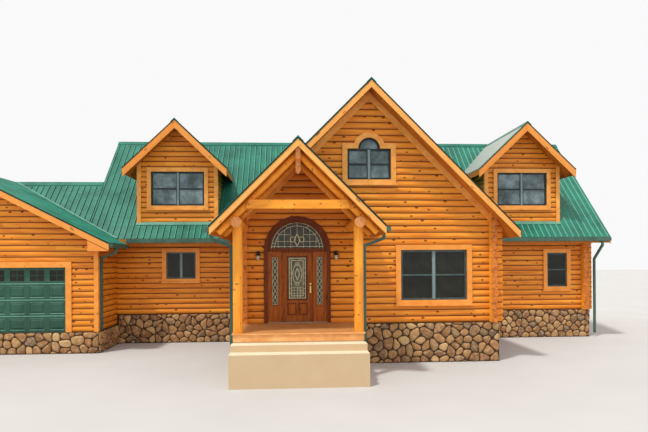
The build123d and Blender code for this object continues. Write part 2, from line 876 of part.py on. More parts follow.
# Entrance door, hung on the left and opening inwards
door_y0 = frame_back - door_thick
door_y1 = frame_back
door_light = (262, floor_z + 690, floor_z + 1910)
panel_z = (floor_z + 200, floor_z + 590)
panel_x = (35, 275)
slab = box(-door_half, door_half, door_y0, door_y1, door_low, door_top)
slab -= box(-door_light[0], door_light[0], door_y0, door_y1, door_light[1], door_light[2])
for side in (-1, 1):
    xs = sorted((side * panel_x[0], side * panel_x[1]))
    for y0, y1 in ((door_y0, door_y0 + panel_cut), (door_y1 - panel_cut, door_y1)):
        groove = box(xs[0], xs[1], y0, y1, panel_z[0], panel_z[1])
        groove -= box(xs[0] + panel_frame, xs[1] - panel_frame, y0, y1,
                      panel_z[0] + panel_frame, panel_z[1] - panel_frame)
        slab -= groove
parts["door_slab"] = slab
pane_y = (door_y0 + door_y1 - pane) / 2
parts["door_glass"] = box(-door_light[0], door_light[0], pane_y, pane_y + pane,
                          door_light[1], door_light[2])

handle_x = door_half - 70
handle_z = floor_z + 1000


def handle(face, outward):
    """A pull handle, its plate and the deadbolt above it, on one face of the door."""
    def out(near, far):
        return sorted((face + outward * near, face + outward * far))

    plate = out(0, 8)
    stem = out(0, 50)
    grip = out(42, 58)
    y0, y1 = plate
    shape = box(handle_x - 24, handle_x + 24, y0, y1, handle_z - 140, handle_z + 70)
    for z in (handle_z - 115, handle_z + 35):
        shape += box(handle_x - 9, handle_x + 9, stem[0], stem[1], z - 9, z + 9)
    shape += box(handle_x - 11, handle_x + 11, grip[0], grip[1], handle_z - 130, handle_z + 50)
    return shape


bolt_z = handle_z + 130
bolt_r = 28
bolt_out = 24
bolts = [
    Pos(handle_x, y, bolt_z) * along_y * many_sided(bolt_r, 8, bolt_out)
    for y in (door_y0 - bolt_out / 2, door_y1 + bolt_out / 2)
]
parts["door_handle"] = joined(handle(door_y0, -1), handle(door_y1, 1), *bolts)

# Lift-off door hinges: a leaf, a knuckle and a pin on the frame, and a leaf and a knuckle that
# stand on them on the door
hinge_x = -(door_half + door_gap / 2)
hinge_y = frame_back + 7
knuckle_r = 6
knuckle_h = 48
knuckle_sides = 6
pin_r = 2.6
pin_play = 0.3
leaf_thick = 2.5
leaf_back = 42
hinge_zs = [door_low + 250, door_low + door_h / 2, door_low + door_h - 250]


def knuckle(z, radius, height):
    """An upright stretch of hinge barrel that starts at z."""
    return Pos(hinge_x, hinge_y, z) * many_sided(radius, knuckle_sides, height, height / 2)


def frame_leaf(z):
    jamb = -side_in
    low = z - knuckle_h
    leaf = box(jamb, jamb + leaf_thick, hinge_y - leaf_back, hinge_y, low, z)
    pin = Pos(hinge_x, hinge_y, z + knuckle_h / 2) * Cylinder(pin_r, knuckle_h)
    return leaf + knuckle(low, knuckle_r, knuckle_h) + pin


def door_leaf(z):
    edge = -door_half
    low = z + pin_play
    hole_r = (pin_r + pin_play) / math.cos(math.pi / knuckle_sides)
    leaf = box(edge - leaf_thick, edge, hinge_y - leaf_back, hinge_y, low, low + knuckle_h)
    return leaf + knuckle(low, knuckle_r, knuckle_h) - knuckle(z, hole_r, 2 * knuckle_h)


parts["hinge_frame_leaves"] = joined(*[frame_leaf(z) for z in hinge_zs])
parts["hinge_door_leaves"] = joined(*[door_leaf(z) for z in hinge_zs])

# Windows
parts["window_casings"] = joined(*[window.casing() for window in windows])
parts["window_sashes"] = joined(*[window.sash() for window in windows])
parts["window_glass"] = joined(*[pane for window in windows for pane in window.panes()])

# Wall lanterns on both sides of the entrance
lantern_x = 1130
lantern_z = floor_z + 1830


def spread(low_r, top_r, height):
    """An eight-sided piece that widens or narrows from its foot at Z = 0."""
    lean = math.atan((low_r - top_r) * math.cos(math.pi / 8) / height)
    return extrude(RegularPolygon(low_r, 8), amount=height, taper=math.degrees(lean))


def lantern(x):
    """A wall plate, an arm and a wide hood over a glass."""
    shape = box(x - 50, x + 50, -16, 0, lantern_z + 40, lantern_z + 260)
    shape += box(x - 14, x + 14, -120, -16, lantern_z + 205, lantern_z + 235)
    shape += Pos(x, -120, lantern_z + 135) * spread(105, 42, 50)
    shape += Pos(x, -120, lantern_z + 220) * many_sided(42, 8, 70)
    return shape


parts["porch_lanterns"] = joined(lantern(-lantern_x), lantern(lantern_x))
parts["lantern_glass"] = joined(*[
    Pos(x, -120, lantern_z + 15) * spread(38, 58, 120) for x in (-lantern_x, lantern_x)
])


# Gutters along the eaves, with downspouts

def trough(length):
    """An open gutter with its back at Y = 0, running along +X from X = 0, its rim at Z = 0."""
    outer = box(0, length, -gutter, 0, -gutter, 0)
    return outer - box(gutter_wall, length - gutter_wall, gutter_wall - gutter, -gutter_wall,
                       gutter_wall - gutter, 0)


def gutter_front(x0, x1, y, z):
    return Pos(x0, y, z) * trough(x1 - x0)


def gutter_back(x0, x1, y, z):
    return Pos(x1, y, z) * Rot(0, 0, 180) * trough(x1 - x0)


def gutter_right(x, y0, y1, z):
    return Pos(x, y0, z) * Rot(0, 0, 90) * trough(y1 - y0)


def gutter_left(x, y0, y1, z):
    return Pos(x, y1, z) * Rot(0, 0, -90) * trough(y1 - y0)


rim = 30
apart = 15
house_eave_y = house_ridge_y - house_run
house_eave_z = ridge_z - house_run - rim
front_eave_z = ridge_z - front_run - rim
porch_eave_z = porch_ridge_z - porch_run - rim
garage_eave_z = link_ridge_z - garage_slope * garage_run - rim
front_eave_left = front_ridge_x - front_run
front_eave_right = front_ridge_x + front_run
garage_eave_left = garage_ridge_x - garage_run
garage_eave_right = garage_ridge_x + garage_run
corner_y = house_eave_y - gutter - apart
parts["gutters"] = joined(
    gutter_front(garage_eave_right + apart, front_eave_left - gutter - apart, house_eave_y,
                 house_eave_z),
    gutter_front(front_eave_right + gutter + apart, house_rake_right, house_eave_y, house_eave_z),
    gutter_back(house_rake_left, house_rake_right, house_ridge_y + house_run, house_eave_z),
    gutter_left(front_eave_left, porch.start, corner_y, front_eave_z),
    gutter_right(porch_run, porch.start, -apart, porch_eave_z),
    gutter_right(front_eave_right, front.start, corner_y, front_eave_z),
    gutter_left(garage_eave_left, garage.start, garage.end, garage_eave_z),
    gutter_right(garage_eave_right, garage.start, corner_y, garage_eave_z),
)


def strip(points):
    """A band of the pipe's width along a line of points that goes down."""
    edges = [Line(a, b) for a, b in zip(points, points[1:])]
    return trace(Wire(edges), line_width=pipe_w)


def pipe_across(points, y):
    """A downspout that runs across and down, at one place along Y."""
    band = Plane.XZ.offset(pipe_w / 2 - y) * strip(points)
    return extrude(band, amount=-pipe_w)


def pipe_along(points, x):
    """A downspout that runs back and down, at one place along X."""
    band = Plane.YZ.offset(x - pipe_w / 2) * strip(points)
    return extrude(band, amount=pipe_w)


elbow = 340
pipe_drop = 150
pipe_half = pipe_w / 2
porch_pipe_x = deck_half + pipe_half + 45
porch_pipe_y = -1900
porch_pipe_top = porch_eave_z - gutter
porch_pipe_start = porch_run + gutter / 2
porch_pipe_low = floor_z - 420
garage_pipe_x = garage_right + board + pipe_half
garage_pipe_start = garage_eave_right + gutter / 2
garage_pipe_top = garage_eave_z - gutter
garage_pipe_y = garage_wall_y + corner_side + pipe_w
end_pipe_x = house_right + tail_side + pipe_w
end_pipe_y = house_wall_y - pipe_half - 20
house_pipe_top = house_eave_z - gutter
house_pipe_start = house_eave_y - gutter / 2


def porch_pipe(side):
    points = [
        (side * porch_pipe_start, porch_pipe_top),
        (side * porch_pipe_start, porch_pipe_top - pipe_drop),
        (side * porch_pipe_x, porch_pipe_top - elbow),
        (side * porch_pipe_x, porch_pipe_low),
    ]
    return pipe_across(points, porch_pipe_y)


garage_points = [
    (garage_pipe_start, garage_pipe_top),
    (garage_pipe_start, garage_pipe_top - pipe_drop),
    (garage_pipe_x, garage_pipe_top - elbow),
    (garage_pipe_x, garage_floor_z + 60),
]
end_points = [
    (house_pipe_start, house_pipe_top),
    (house_pipe_start, house_pipe_top - pipe_drop),
    (end_pipe_y, house_pipe_top - 2 * elbow),
    (end_pipe_y, 150),
]
back_points = [
    (2 * house_ridge_y - y, z) for y, z in end_points
]
parts["downspouts"] = joined(
    porch_pipe(-1), porch_pipe(1),
    pipe_across(garage_points, garage_pipe_y),
    pipe_along(end_points, end_pipe_x),
    pipe_along(back_points, end_pipe_x),
)

for name, shape in parts.items():
    print(name, len(solids_of(shape)))
os.makedirs("parts", exist_ok=True)
for name, shape in parts.items():
    export_step(shape, f"parts/{name}.step")
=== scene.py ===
import math
import random
from collections import namedtuple

import bmesh
import bpy
from mathutils import Matrix, Vector
from mathutils.bvhtree import BVHTree


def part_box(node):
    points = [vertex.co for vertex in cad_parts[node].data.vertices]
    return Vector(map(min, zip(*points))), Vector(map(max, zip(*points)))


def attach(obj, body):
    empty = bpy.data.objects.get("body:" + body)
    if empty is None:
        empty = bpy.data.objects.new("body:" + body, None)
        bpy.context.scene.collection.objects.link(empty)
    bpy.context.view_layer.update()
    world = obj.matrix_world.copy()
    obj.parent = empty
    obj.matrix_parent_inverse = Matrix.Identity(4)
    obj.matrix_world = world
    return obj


# The log cabin's looks: finishes for every CAD node, and the small pieces that they lack.
# Metres, in the CAD frame: X right along the facade, Y away from the viewer, Z up.

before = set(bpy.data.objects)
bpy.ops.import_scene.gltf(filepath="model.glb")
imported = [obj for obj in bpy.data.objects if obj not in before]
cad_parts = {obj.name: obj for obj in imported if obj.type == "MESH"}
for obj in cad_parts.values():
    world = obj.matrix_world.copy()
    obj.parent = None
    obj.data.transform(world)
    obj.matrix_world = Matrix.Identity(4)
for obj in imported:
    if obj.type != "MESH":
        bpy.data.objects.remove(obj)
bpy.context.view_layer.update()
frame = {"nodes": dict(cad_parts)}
nodes = frame["nodes"]

# Sizes shared with the CAD
course = 0.1905
front_sill = 1.16
house_sill = 1.054
garage_floor = 0.7
dormer_sill = 4.427
ridge_z = 8.187
metal = 0.022
cap_half = 0.14
roof_thick = 0.22
rake_deep = 0.25
lip = 0.048
front_ridge_x = 2.128
front_half = 3.78
house_wall_y = 4.78
house_ridge_y = 8.54
house_left = -6.949
house_right = 11.289
house_back = 12.3
front_left = -1.652
front_right = 5.908
tail_out = 0.185
tail_side = 0.205
garage_ridge_x = -10.997
garage_ridge_z = 6.151
garage_half = 4.439
garage_wall_y = 2.595
garage_middle_y = 6.504
dormer_xs = (-4.355, 8.745)
dormer_half = 1.45
dormer_ridge_z = 8.175
dormer_front_y = 4.246


class Roof(namedtuple("Roof", "along middle top slope run start end")):
    """Two slopes: the way their ridge runs, its place and height, their slope and run, both ends."""

    def height(self, out):
        return self.top - self.slope * out

    def point(self, at, side, out, lift=0):
        """A point at a place along the ridge, so far out down one slope, and lifted off it."""
        tilt = math.hypot(1, self.slope)
        across = self.middle + side * (out + self.slope / tilt * lift)
        z = self.height(out) + lift / tilt
        return (at, across, z) if self.along == "X" else (across, at, z)


roofs = {
    "house": Roof("X", house_ridge_y, ridge_z, 1, 4.355, -7.549 - lip, 11.889 + lip),
    "front": Roof("Y", front_ridge_x, ridge_z, 1, 4.3, -0.553 - lip, house_ridge_y),
    "porch": Roof("Y", 0, ridge_z - front_ridge_x, 1, 2.172, -2.61 - lip, 0),
    "garage": Roof("Y", garage_ridge_x, garage_ridge_z, 0.51104, 4.939, 2.188 - lip, 10.82 + lip),
    "link": Roof("X", garage_middle_y, garage_ridge_z, 1, 2.319, garage_ridge_x, -7.549),
}
dormers = [Roof("Y", x, dormer_ridge_z, 0.948, 1.862, dormer_front_y - lip, 8.528) for x in dormer_xs]
roofs["left_dormer"], roofs["right_dormer"] = dormers


def house_slope(y):
    """The height of the house roof's front slope."""
    return ridge_z - (house_ridge_y - y)


def colour(value):
    """A linear colour from a hex one; any other value stays as it is."""
    if not isinstance(value, str):
        return value
    parts = [int(value[i:i + 2], 16) / 255 for i in (0, 2, 4)]
    return tuple(c / 12.92 if c <= 0.04045 else ((c + 0.055) / 1.055) ** 2.4 for c in parts) + (1,)


# Materials

def operation(name):
    """A method that makes a math node of one kind."""
    return lambda self, *others: self.nodes.math(name, self, *others)


class Signal:
    """A node's output; arithmetic with it makes more nodes."""

    __add__ = operation("ADD")
    __sub__ = operation("SUBTRACT")
    __mul__ = operation("MULTIPLY")
    __truediv__ = operation("DIVIDE")
    __gt__ = operation("GREATER_THAN")
    __lt__ = operation("LESS_THAN")
    __abs__ = operation("ABSOLUTE")
    whole = operation("FLOOR")
    part = operation("FRACT")

    def __init__(self, nodes, socket):
        self.nodes = nodes
        self.socket = socket

    def __rsub__(self, other):
        return self.nodes.math("SUBTRACT", other, self)

    def edge(self):
        """How far it is from the nearer whole number."""
        part = self.part()
        return self.nodes.math("MINIMUM", part, 1 - part)


class Nodes:
    """Short calls for the nodes of a material or a world."""

    def __init__(self, owner, output):
        owner.use_nodes = True
        self.tree = owner.node_tree
        self.tree.nodes.clear()
        self.output = self.tree.nodes.new("ShaderNodeOutput" + output)

    def put(self, socket, value):
        if isinstance(value, Signal):
            self.tree.links.new(value.socket, socket)
        else:
            socket.default_value = colour(value)

    def node(self, kind, values, output=0, **settings):
        """A node's output; its values come in the order of its sockets, or by their names."""
        made = self.tree.nodes.new("ShaderNode" + kind)
        for key, value in settings.items():
            setattr(made, key, value)
        for key, value in values.items() if isinstance(values, dict) else enumerate(values):
            self.put(made.inputs[key], value)
        return Signal(self, made.outputs[output])

    def math(self, operation, *values):
        return self.node("Math", values, operation=operation)

    def vector_math(self, operation, *values, output=0):
        return self.node("VectorMath", values, output, operation=operation)

    def normal(self):
        return self.node("NewGeometry", (), "Normal")

    def split(self, vector):
        node = self.node("SeparateXYZ", (vector,)).socket.node
        return [Signal(self, socket) for socket in node.outputs]

    def join(self, x, y, z):
        return self.node("CombineXYZ", (x, y, z))

    def cells(self, vector, scale, output="Distance", dimensions="3D"):
        values = {"Vector": vector, "Scale": scale}
        return self.node("TexVoronoi", values, output, voronoi_dimensions=dimensions)

    def knots(self, along, level, often):
        """Dark spots along logs or boards, one to a cell of some cells."""
        place = self.join(along, level, 0)
        spot = self.cells(place, 1, dimensions="2D")
        chance, size, _ = self.split(self.cells(place, 1, "Color", "2D"))
        mark = self.span(spot - self.span(size, 0, 1, 0.06, 0.19), -0.03, 0.03, 1, 0)
        return mark * (chance < often)

    def chance(self, vector):
        return self.node("TexWhiteNoise", (vector,), "Value")

    def span(self, value, low, high, new_low=0, new_high=1):
        return self.node("MapRange", (value, low, high, new_low, new_high))

    def ramp(self, value, *stops):
        shaded = self.node("ValToRGB", (value,))
        elements = shaded.socket.node.color_ramp.elements
        while len(elements) < len(stops):
            elements.new(0.5)
        for element, (place, shade) in zip(elements, stops):
            element.position = place
            element.color = colour(shade)
        return shaded

    def mix(self, factor, a, b):
        return self.node("Mix", {0: factor, 6: a, 7: b}, 2, data_type="RGBA")

    def bump(self, height, distance, normal=None):
        values = {"Height": height, "Distance": distance}
        if normal is not None:
            values["Normal"] = normal
        return self.node("Bump", values)


class Finish(Nodes):
    """One material."""

    def __init__(self, name, roughness, gloss=0.5, **values):
        self.material = bpy.data.materials.new(name)
        super().__init__(self.material, "Material")
        self.shader = self.tree.nodes.new("ShaderNodeBsdfPrincipled")
        self.tree.links.new(self.shader.outputs[0], self.output.inputs[0])
        self.place = self.node("TexCoord", (), "Object")
        values = {"Roughness": roughness, "Specular IOR Level": gloss, **values}
        for key, value in values.items():
            self.shader.inputs[key.replace("_", " ")].default_value = value

    def noise(self, scale, detail, rough, at=None):
        values = {"Vector": at or self.place, "Scale": scale, "Detail": detail, "Roughness": rough}
        return self.node("TexNoise", values)

    def finish(self, base, normal=None, roughness=None):
        for key, value in (("Base Color", base), ("Normal", normal), ("Roughness", roughness)):
            if value is not None:
                self.put(self.shader.inputs[key], value)
        return self.material


log_dark = "ab5a14"
log_mid = "e88c22"
log_light = "fcb23e"
log_seam = "4f2206"
log_knot = "4a1e05"
wood_gloss = 0.28
log_length = 4.2
upstairs = 4.3


def log_tone(f, run, across, level, knot_scale=1, knot_side=None):
    """Grain, knots and a shade of its own for each length of log."""
    number = level.whole()
    start = f.chance(f.join(number, 4, 1)) * 5
    length = ((run + start) / log_length).whole()
    own = f.chance(f.join(number, length, 2))
    along = run + own * 31
    fine = f.noise(1, 4, 0.6, f.join(along * 1.4, across * 30, level * 5))
    broad = f.noise(1, 2, 0.5, f.join(along * 0.7, across * 6, level * 1.1))
    grain = fine * 0.6 + broad * 0.4
    base = f.ramp(grain, (0.28, log_dark), (0.47, log_mid), (0.7, log_light))
    base = f.mix(f.span(own, 0, 1, 0, 0.42), base, "cf6c17")
    aside = level if knot_side is None else knot_side
    mark = f.knots(along * (3.2 * knot_scale), aside * knot_scale, 0.3)
    base = f.mix(mark * 0.85, base, log_knot)
    checks = f.noise(1, 2, 0.4, f.join(along * 0.9, 0, level * 9))
    return f.mix(f.span(checks, 0.715, 0.74, 0, 0.6), base, log_seam), grain, mark


def rounded(f, level):
    """A shading normal that turns from one seam of a log course to the next."""
    lean = f.span(level.part(), 0, 1, -0.5, 0.5)
    normal = f.normal()
    x, y, z = f.split(normal)
    nx, ny, _ = f.split(f.vector_math("NORMALIZE", f.join(x, y, 0)))
    turned = f.vector_math("NORMALIZE", f.join(nx, ny, lean))
    values = {0: abs(z) > 0.6, 4: turned, 5: normal}
    return f.node("Mix", values, 1, data_type="VECTOR")


def log_wall(name, along, sill):
    """Stacked round-faced logs that run along X or Y, with painted shade on the lower half of each course.
    """
    f = Finish(name, 0.42, wood_gloss)
    x, y, z = f.split(f.place)
    run, across = (x, y) if along == "X" else (y, x)
    level = (z - sill) / course
    base, grain, mark = log_tone(f, run, across, level)
    # Painted shade: the lower half of each log course is darkened towards log_dark.
    base = f.mix(f.span(level.part(), 0.05, 0.5, 0.4, 0), base, log_dark)
    base = f.mix(f.span(level.edge(), 0.03, 0.14, 0.92, 0), base, log_seam)
    bumped = f.bump(grain - mark * 0.3, 0.004, rounded(f, level))
    return f.finish(base, bumped, f.span(grain, 0.3, 0.7, 0.5, 0.36))


def corner_wood():
    """Crossed log ends, with end grain where a log is cut across, and a painted highlight on the faces that
    look along X.
    """
    f = Finish("corner_logs", 0.5, wood_gloss)
    x, y, z = f.split(f.place)
    level = (z - front_sill) / course
    base, grain, _ = log_tone(f, x + y, x - y, level)
    facing_x, facing_y, _ = f.split(f.normal())
    cuts = [(y, facing_y, at) for at in (-tail_out, house_wall_y - tail_out, house_back + tail_out)]
    cuts += [(x, facing_x, at) for at in (front_left - tail_side, house_left - tail_side,
                                          front_right + tail_side, house_right + tail_side)]
    ends = None
    for place, facing, at in cuts:
        here = f.math("COMPARE", place, at, 0.02) * (abs(facing) > 0.9)
        ends = here if ends is None else f.math("MAXIMUM", ends, here)
    rough = f.noise(14, 5, 0.65)
    pits = f.cells(f.place, 26)
    cut_face = f.ramp(rough, (0.3, "83400f"), (0.5, "cf7528"), (0.72, "dd8c46"))
    cut_face = f.mix(f.span(pits, 0.1, 0.22, 0.5, 0), cut_face, log_knot)
    edge = level.edge()
    # Painted highlight: faces that look along X are lightened towards log_light, and their seams are
    # darkened less.
    side = abs(facing_x) > 0.9
    base = f.mix(side * 0.9, base, log_light)
    base = f.mix((0.8 - side * 0.55) * f.span(edge, 0.02, 0.12, 1, 0), base, log_seam)
    cut_face = f.mix(f.span(edge, 0.02, 0.06, 0.3, 0), cut_face, log_seam)
    return f.finish(f.mix(ends, base, cut_face), f.bump(grain + rough * ends * 3, 0.006))


def post_wood(name, along):
    """A single peeled log, with streaks and knots along it."""
    f = Finish(name, 0.42, wood_gloss)
    axis = "XYZ".index(along)
    place = f.split(f.place)
    run = place.pop(axis)
    across, third = place
    base, grain, mark = log_tone(f, run, across * 0.4, third * 2.2, 1.9, (across + third) * 3.2)
    base = f.mix(0.3, base, log_light)
    cut = abs(f.split(f.normal())[axis]) > 0.95
    end = f.ramp(f.noise(30, 4, 0.6), (0.35, "bf7236"), (0.65, "e3a064"))
    return f.finish(f.mix(cut, base, end), f.bump(grain - mark * 0.3, 0.004))


def plain_wood(name, pale, dark):
    """Sawn trim that runs several ways, with soft mottling in place of a grain, and painted shade that
    turns it more orange lower down.
    """
    f = Finish(name, 0.42, wood_gloss)
    broad = f.noise(3.5, 4, 0.6)
    fine = f.noise(45, 4, 0.7)
    base = f.ramp(broad * 0.65 + fine * 0.35, (0.36, dark), (0.64, pale))
    x, y, z = f.split(f.place)
    # A little orange everywhere is the trim's own tone; the extra orange lower down is painted shade.
    base = f.mix(f.span(z, 4.2, 5.2, 0.42, 0.1), base, "e88016")
    mark = f.knots((x + y) * 6, z * 6, 0.06)
    return f.finish(f.mix(mark * 0.6, base, log_knot), f.bump(fine, 0.002))


def board_wood(name, pale, dark, run, roughness=0.45, width=0, across=None, gloss=wood_gloss,
               shade_at_back=0):
    """Sawn boards: run and across weigh X, Y and Z along and across the grain.

    width is a board's, where they lie side by side, and the last argument turns those at the back orange as
    painted shade.
    """
    f = Finish(name, roughness, gloss)
    x, y, _ = f.split(f.place)
    along = f.vector_math("DOT_PRODUCT", f.place, run, output="Value")
    side = across or (run[2], run[0], -run[1])
    off = f.vector_math("DOT_PRODUCT", f.place, side, output="Value")
    lane = off / width if width else None
    own = f.chance(f.join(lane.whole(), 1, 1)) if width else off * 0.2
    fine = f.noise(1, 4, 0.6, f.join(along * 2 + own * 9, off * 36, (x - y) * 2))
    base = f.ramp(fine, (0.3, dark), (0.7, pale))
    # Painted shade: boards farther back are turned orange.
    base = f.mix(f.span(y, -1.5, 2, 0, shade_at_back), base, "e07614")
    base = f.mix(f.knots(along * 2, off * 7, 0.25) * 0.6, base, log_knot)
    if width:
        base = f.mix(own * 0.25, base, dark)
        base = f.mix(f.span(lane.edge(), 0, 0.06, 0.75, 0), base, log_seam)
    return f.finish(base, f.bump(fine, 0.002))


def fieldstone():
    """Rounded stones; each has a tint of its own in the mesh."""
    f = Finish("fieldstones", 0.8)
    tint = f.node("Attribute", (), "Fac", attribute_name="tint")
    base = f.ramp(tint, (0, "7f5632"), (0.2, "b3844f"), (0.4, "94633f"), (0.55, "c1945c"),
                  (0.7, "6f5844"), (0.85, "a36c3a"), (1, "d6b27c"))
    speck = f.noise(40, 5, 0.7)
    broad = f.noise(9, 3, 0.6)
    base = f.mix(f.span(speck, 0.35, 0.65, 0.5, 0), base, "5f4226")
    base = f.mix(f.span(broad, 0.45, 0.7, 0, 0.3), base, "efd5a8")
    return f.finish(base, f.bump(broad * 2 + speck, 0.006))


def mortar():
    """Dark joints between the fieldstones."""
    f = Finish("mortar", 0.92)
    speck = f.noise(60, 5, 0.7)
    return f.finish(f.ramp(speck, (0.3, "2a1d12"), (0.7, "4f3c28")), f.bump(speck, 0.004))


def concrete():
    """Pale treads, with painted shade on the risers and sides."""
    f = Finish("concrete", 0.8)
    cloud = f.noise(2.2, 4, 0.6)
    speck = f.noise(70, 3, 0.6)
    base = f.ramp(cloud, (0.3, "d9cdb0"), (0.7, "e3d9c0"))
    base = f.mix(f.span(speck, 0.35, 0.55, 0.3, 0), base, "c2ad86")
    # Painted shade: faces that do not look up are darkened.
    rise = f.split(f.normal())[2]
    base = f.mix(f.span(rise, 0.2, 0.8, 0.7, 0), base, "bd9a70")
    return f.finish(base, f.bump(speck, 0.002))


def painted_metal(name, light, dark, roughness=0.4, lines=0):
    """Paint on metal; lines is the spacing of the fine lines pressed down a roof's slopes, and a roof's
    slopes that face right at a low pitch also get a painted sheen.
    """
    f = Finish(name, roughness, 0.3)
    cloud = f.noise(1.3, 3, 0.6)
    streak = f.noise(1, 3, 0.6, f.vector_math("MULTIPLY", f.place, (9, 9, 0.8)))
    base = f.ramp(cloud * 0.6 + streak * 0.4, (0.35, dark), (0.65, light))
    if lines:
        x, y, _ = f.split(f.place)
        facing, _, rise = f.split(f.normal())
        # Painted sheen: slopes that face right at the garage roof's low pitch are lightened.
        painted_sheen = f.span(facing, 0.2, 0.4) * f.span(rise, 0.8, 0.86)
        base = f.mix(painted_sheen * 0.2, base, "4a9c8a")
        sideways = abs(facing) > 0.3
        across = x * (1 - sideways) + y * sideways
        from_line = abs((across / lines).part() - 0.5)
        base = f.mix(f.span(from_line, 0, 0.25, 0.3, 0), base, dark)
    fine = f.noise(220, 2, 0.5)
    return f.finish(base, f.bump(fine, 0.0006), f.span(cloud, 0.3, 0.7, roughness - 0.06, roughness + 0.1))


def rib_metal():
    """Rib paint, with painted shade on the sides that face right and on those that face the viewer, and a
    painted pale reflection on those that face left.
    """
    f = Finish("rib_paint_with_painted_light", 0.32, 0.3)
    facing, depth, rise = f.split(f.normal())
    base = f.ramp(f.noise(1.3, 3, 0.6), (0.35, "14604f"), (0.65, "1c806b"))
    # Painted shade: steep sides that face right are darkened.
    base = f.mix(f.span(facing, 0.1, 0.35) * (rise < 0.53), base, "05201a")
    # Painted reflection: sides that face left are made pale.
    base = f.mix(f.span(facing, -0.35, -0.1, 0.48, 0), base, "a5d8c6")
    # Painted shade: sides that face the viewer are darkened.
    cross = (depth < -0.55) * (abs(facing) > 0.35)
    base = f.mix(cross * 0.9, base, "12372f")
    return f.finish(base, f.bump(f.noise(220, 2, 0.5), 0.0006))


def window_pane():
    """Dark panes downstairs, a painted shade of the rooms behind, and paler ones above, a painted
    reflection, with drawn blinds behind them.
    """
    f = Finish("window_glass", 0.05, 0.3, IOR=1.5, Transmission_Weight=0.1)
    height = f.split(f.place)[2]
    cloud = f.noise(1.9, 5, 0.6)
    slats = abs((height * 16).part() - 0.5)
    # Painted shade: the panes downstairs are made dark.
    low = f.ramp(cloud, (0.35, "050604"), (0.68, "20221a"))
    low = f.mix(slats * 0.16, low, "5c5c4a")
    # Painted reflection: the panes upstairs are pale blue-grey.
    high = f.ramp(cloud, (0.34, "3c4a4c"), (0.5, "5f7279"), (0.68, "8a9fa7"))
    high = f.mix(slats * 0.2, high, "9fabab")
    return f.finish(f.mix(height > upstairs, low, high), f.bump(f.noise(2.6, 2, 0.5), 0.004))


def sash_coat():
    """Sash paint, dark in the shade of the eaves upstairs and paler downstairs."""
    f = Finish("sash_paint", 0.4, 0.3)
    wear = f.noise(6, 4, 0.6)
    low = f.ramp(wear, (0.35, "36464a"), (0.65, "4b5d5c"))
    high = f.ramp(wear, (0.35, "141d22"), (0.65, "222e34"))
    height = f.split(f.place)[2]
    return f.finish(f.mix(height > upstairs, low, high), f.bump(wear, 0.0006))


def leaded(name, dark, pale):
    """Textured glass."""
    f = Finish(name, 0.15, IOR=1.5, Transmission_Weight=0.3)
    base = f.ramp(f.noise(7, 4, 0.7), (0.35, dark), (0.65, pale))
    return f.finish(base, f.bump(f.noise(38, 3, 0.6), 0.004))


def plain_metal(name, shade, roughness, metallic):
    """Metal that wear darkens in places."""
    f = Finish(name, roughness, Metallic=metallic)
    wear = f.noise(30, 4, 0.6)
    worn = tuple(c * 0.72 for c in colour(shade)[:3]) + (1,)
    return f.finish(f.ramp(wear, (0.3, worn), (0.7, shade)), f.bump(wear, 0.0006))


board_wide = 0.14
upright = (0.1, 0.1, 1)
level_x = (1, 0, 0)
level_y = (0, 1, 0)
rake_tones = ("fab968", "e09842")
trim = plain_wood("trim_boards", "f9b45e", "d98f3e")
# The rake boards' orange at the back is painted shade, deeper on the left ones.
left_rake = board_wood("left_rake", *rake_tones, (0.7, 0.7, 0.7), 0.4, shade_at_back=0.55)
right_rake = board_wood("right_rake", *rake_tones, (0.7, 0.7, -0.7), 0.4, shade_at_back=0.4)
soffit = board_wood("soffit", "dc8632", "a85a16", level_y, 0.5, board_wide, (0.7, 0, 0.7))
deck_wood = board_wood("deck_boards", "dea062", "a87240", level_x, 0.6, board_wide, level_y)
entrance_wood = board_wood("entrance_wood", "b8621c", "773a0c", upright, gloss=0.2)
entry_trim = board_wood("entry_trim", "803c0e", "4e2206", upright, gloss=0.2)
fascia_wood = board_wood("fascia_boards", "f0b274", "c98647", (1, 0.1, 0), 0.5)
stones = fieldstone()
rib_paint_with_painted_light = rib_metal()
edge_paint = painted_metal("edge_paint", "183c30", "0e2821", 0.35)
door_paint = painted_metal("door_paint", "315e4e", "23483c", 0.42)
# Pale paint for the garage door's seam strips: a painted highlight.
seam_highlight_paint = painted_metal("seam_highlight_paint", "7cae9d", "5f8f80")
flashing_paint = painted_metal("flashing_paint", "639b89", "4a8373")
mullion_paint = painted_metal("mullion_paint", "83979a", "64797c")
sash = sash_coat()
gold = plain_metal("came", "e4d3a4", 0.35, 0.7)

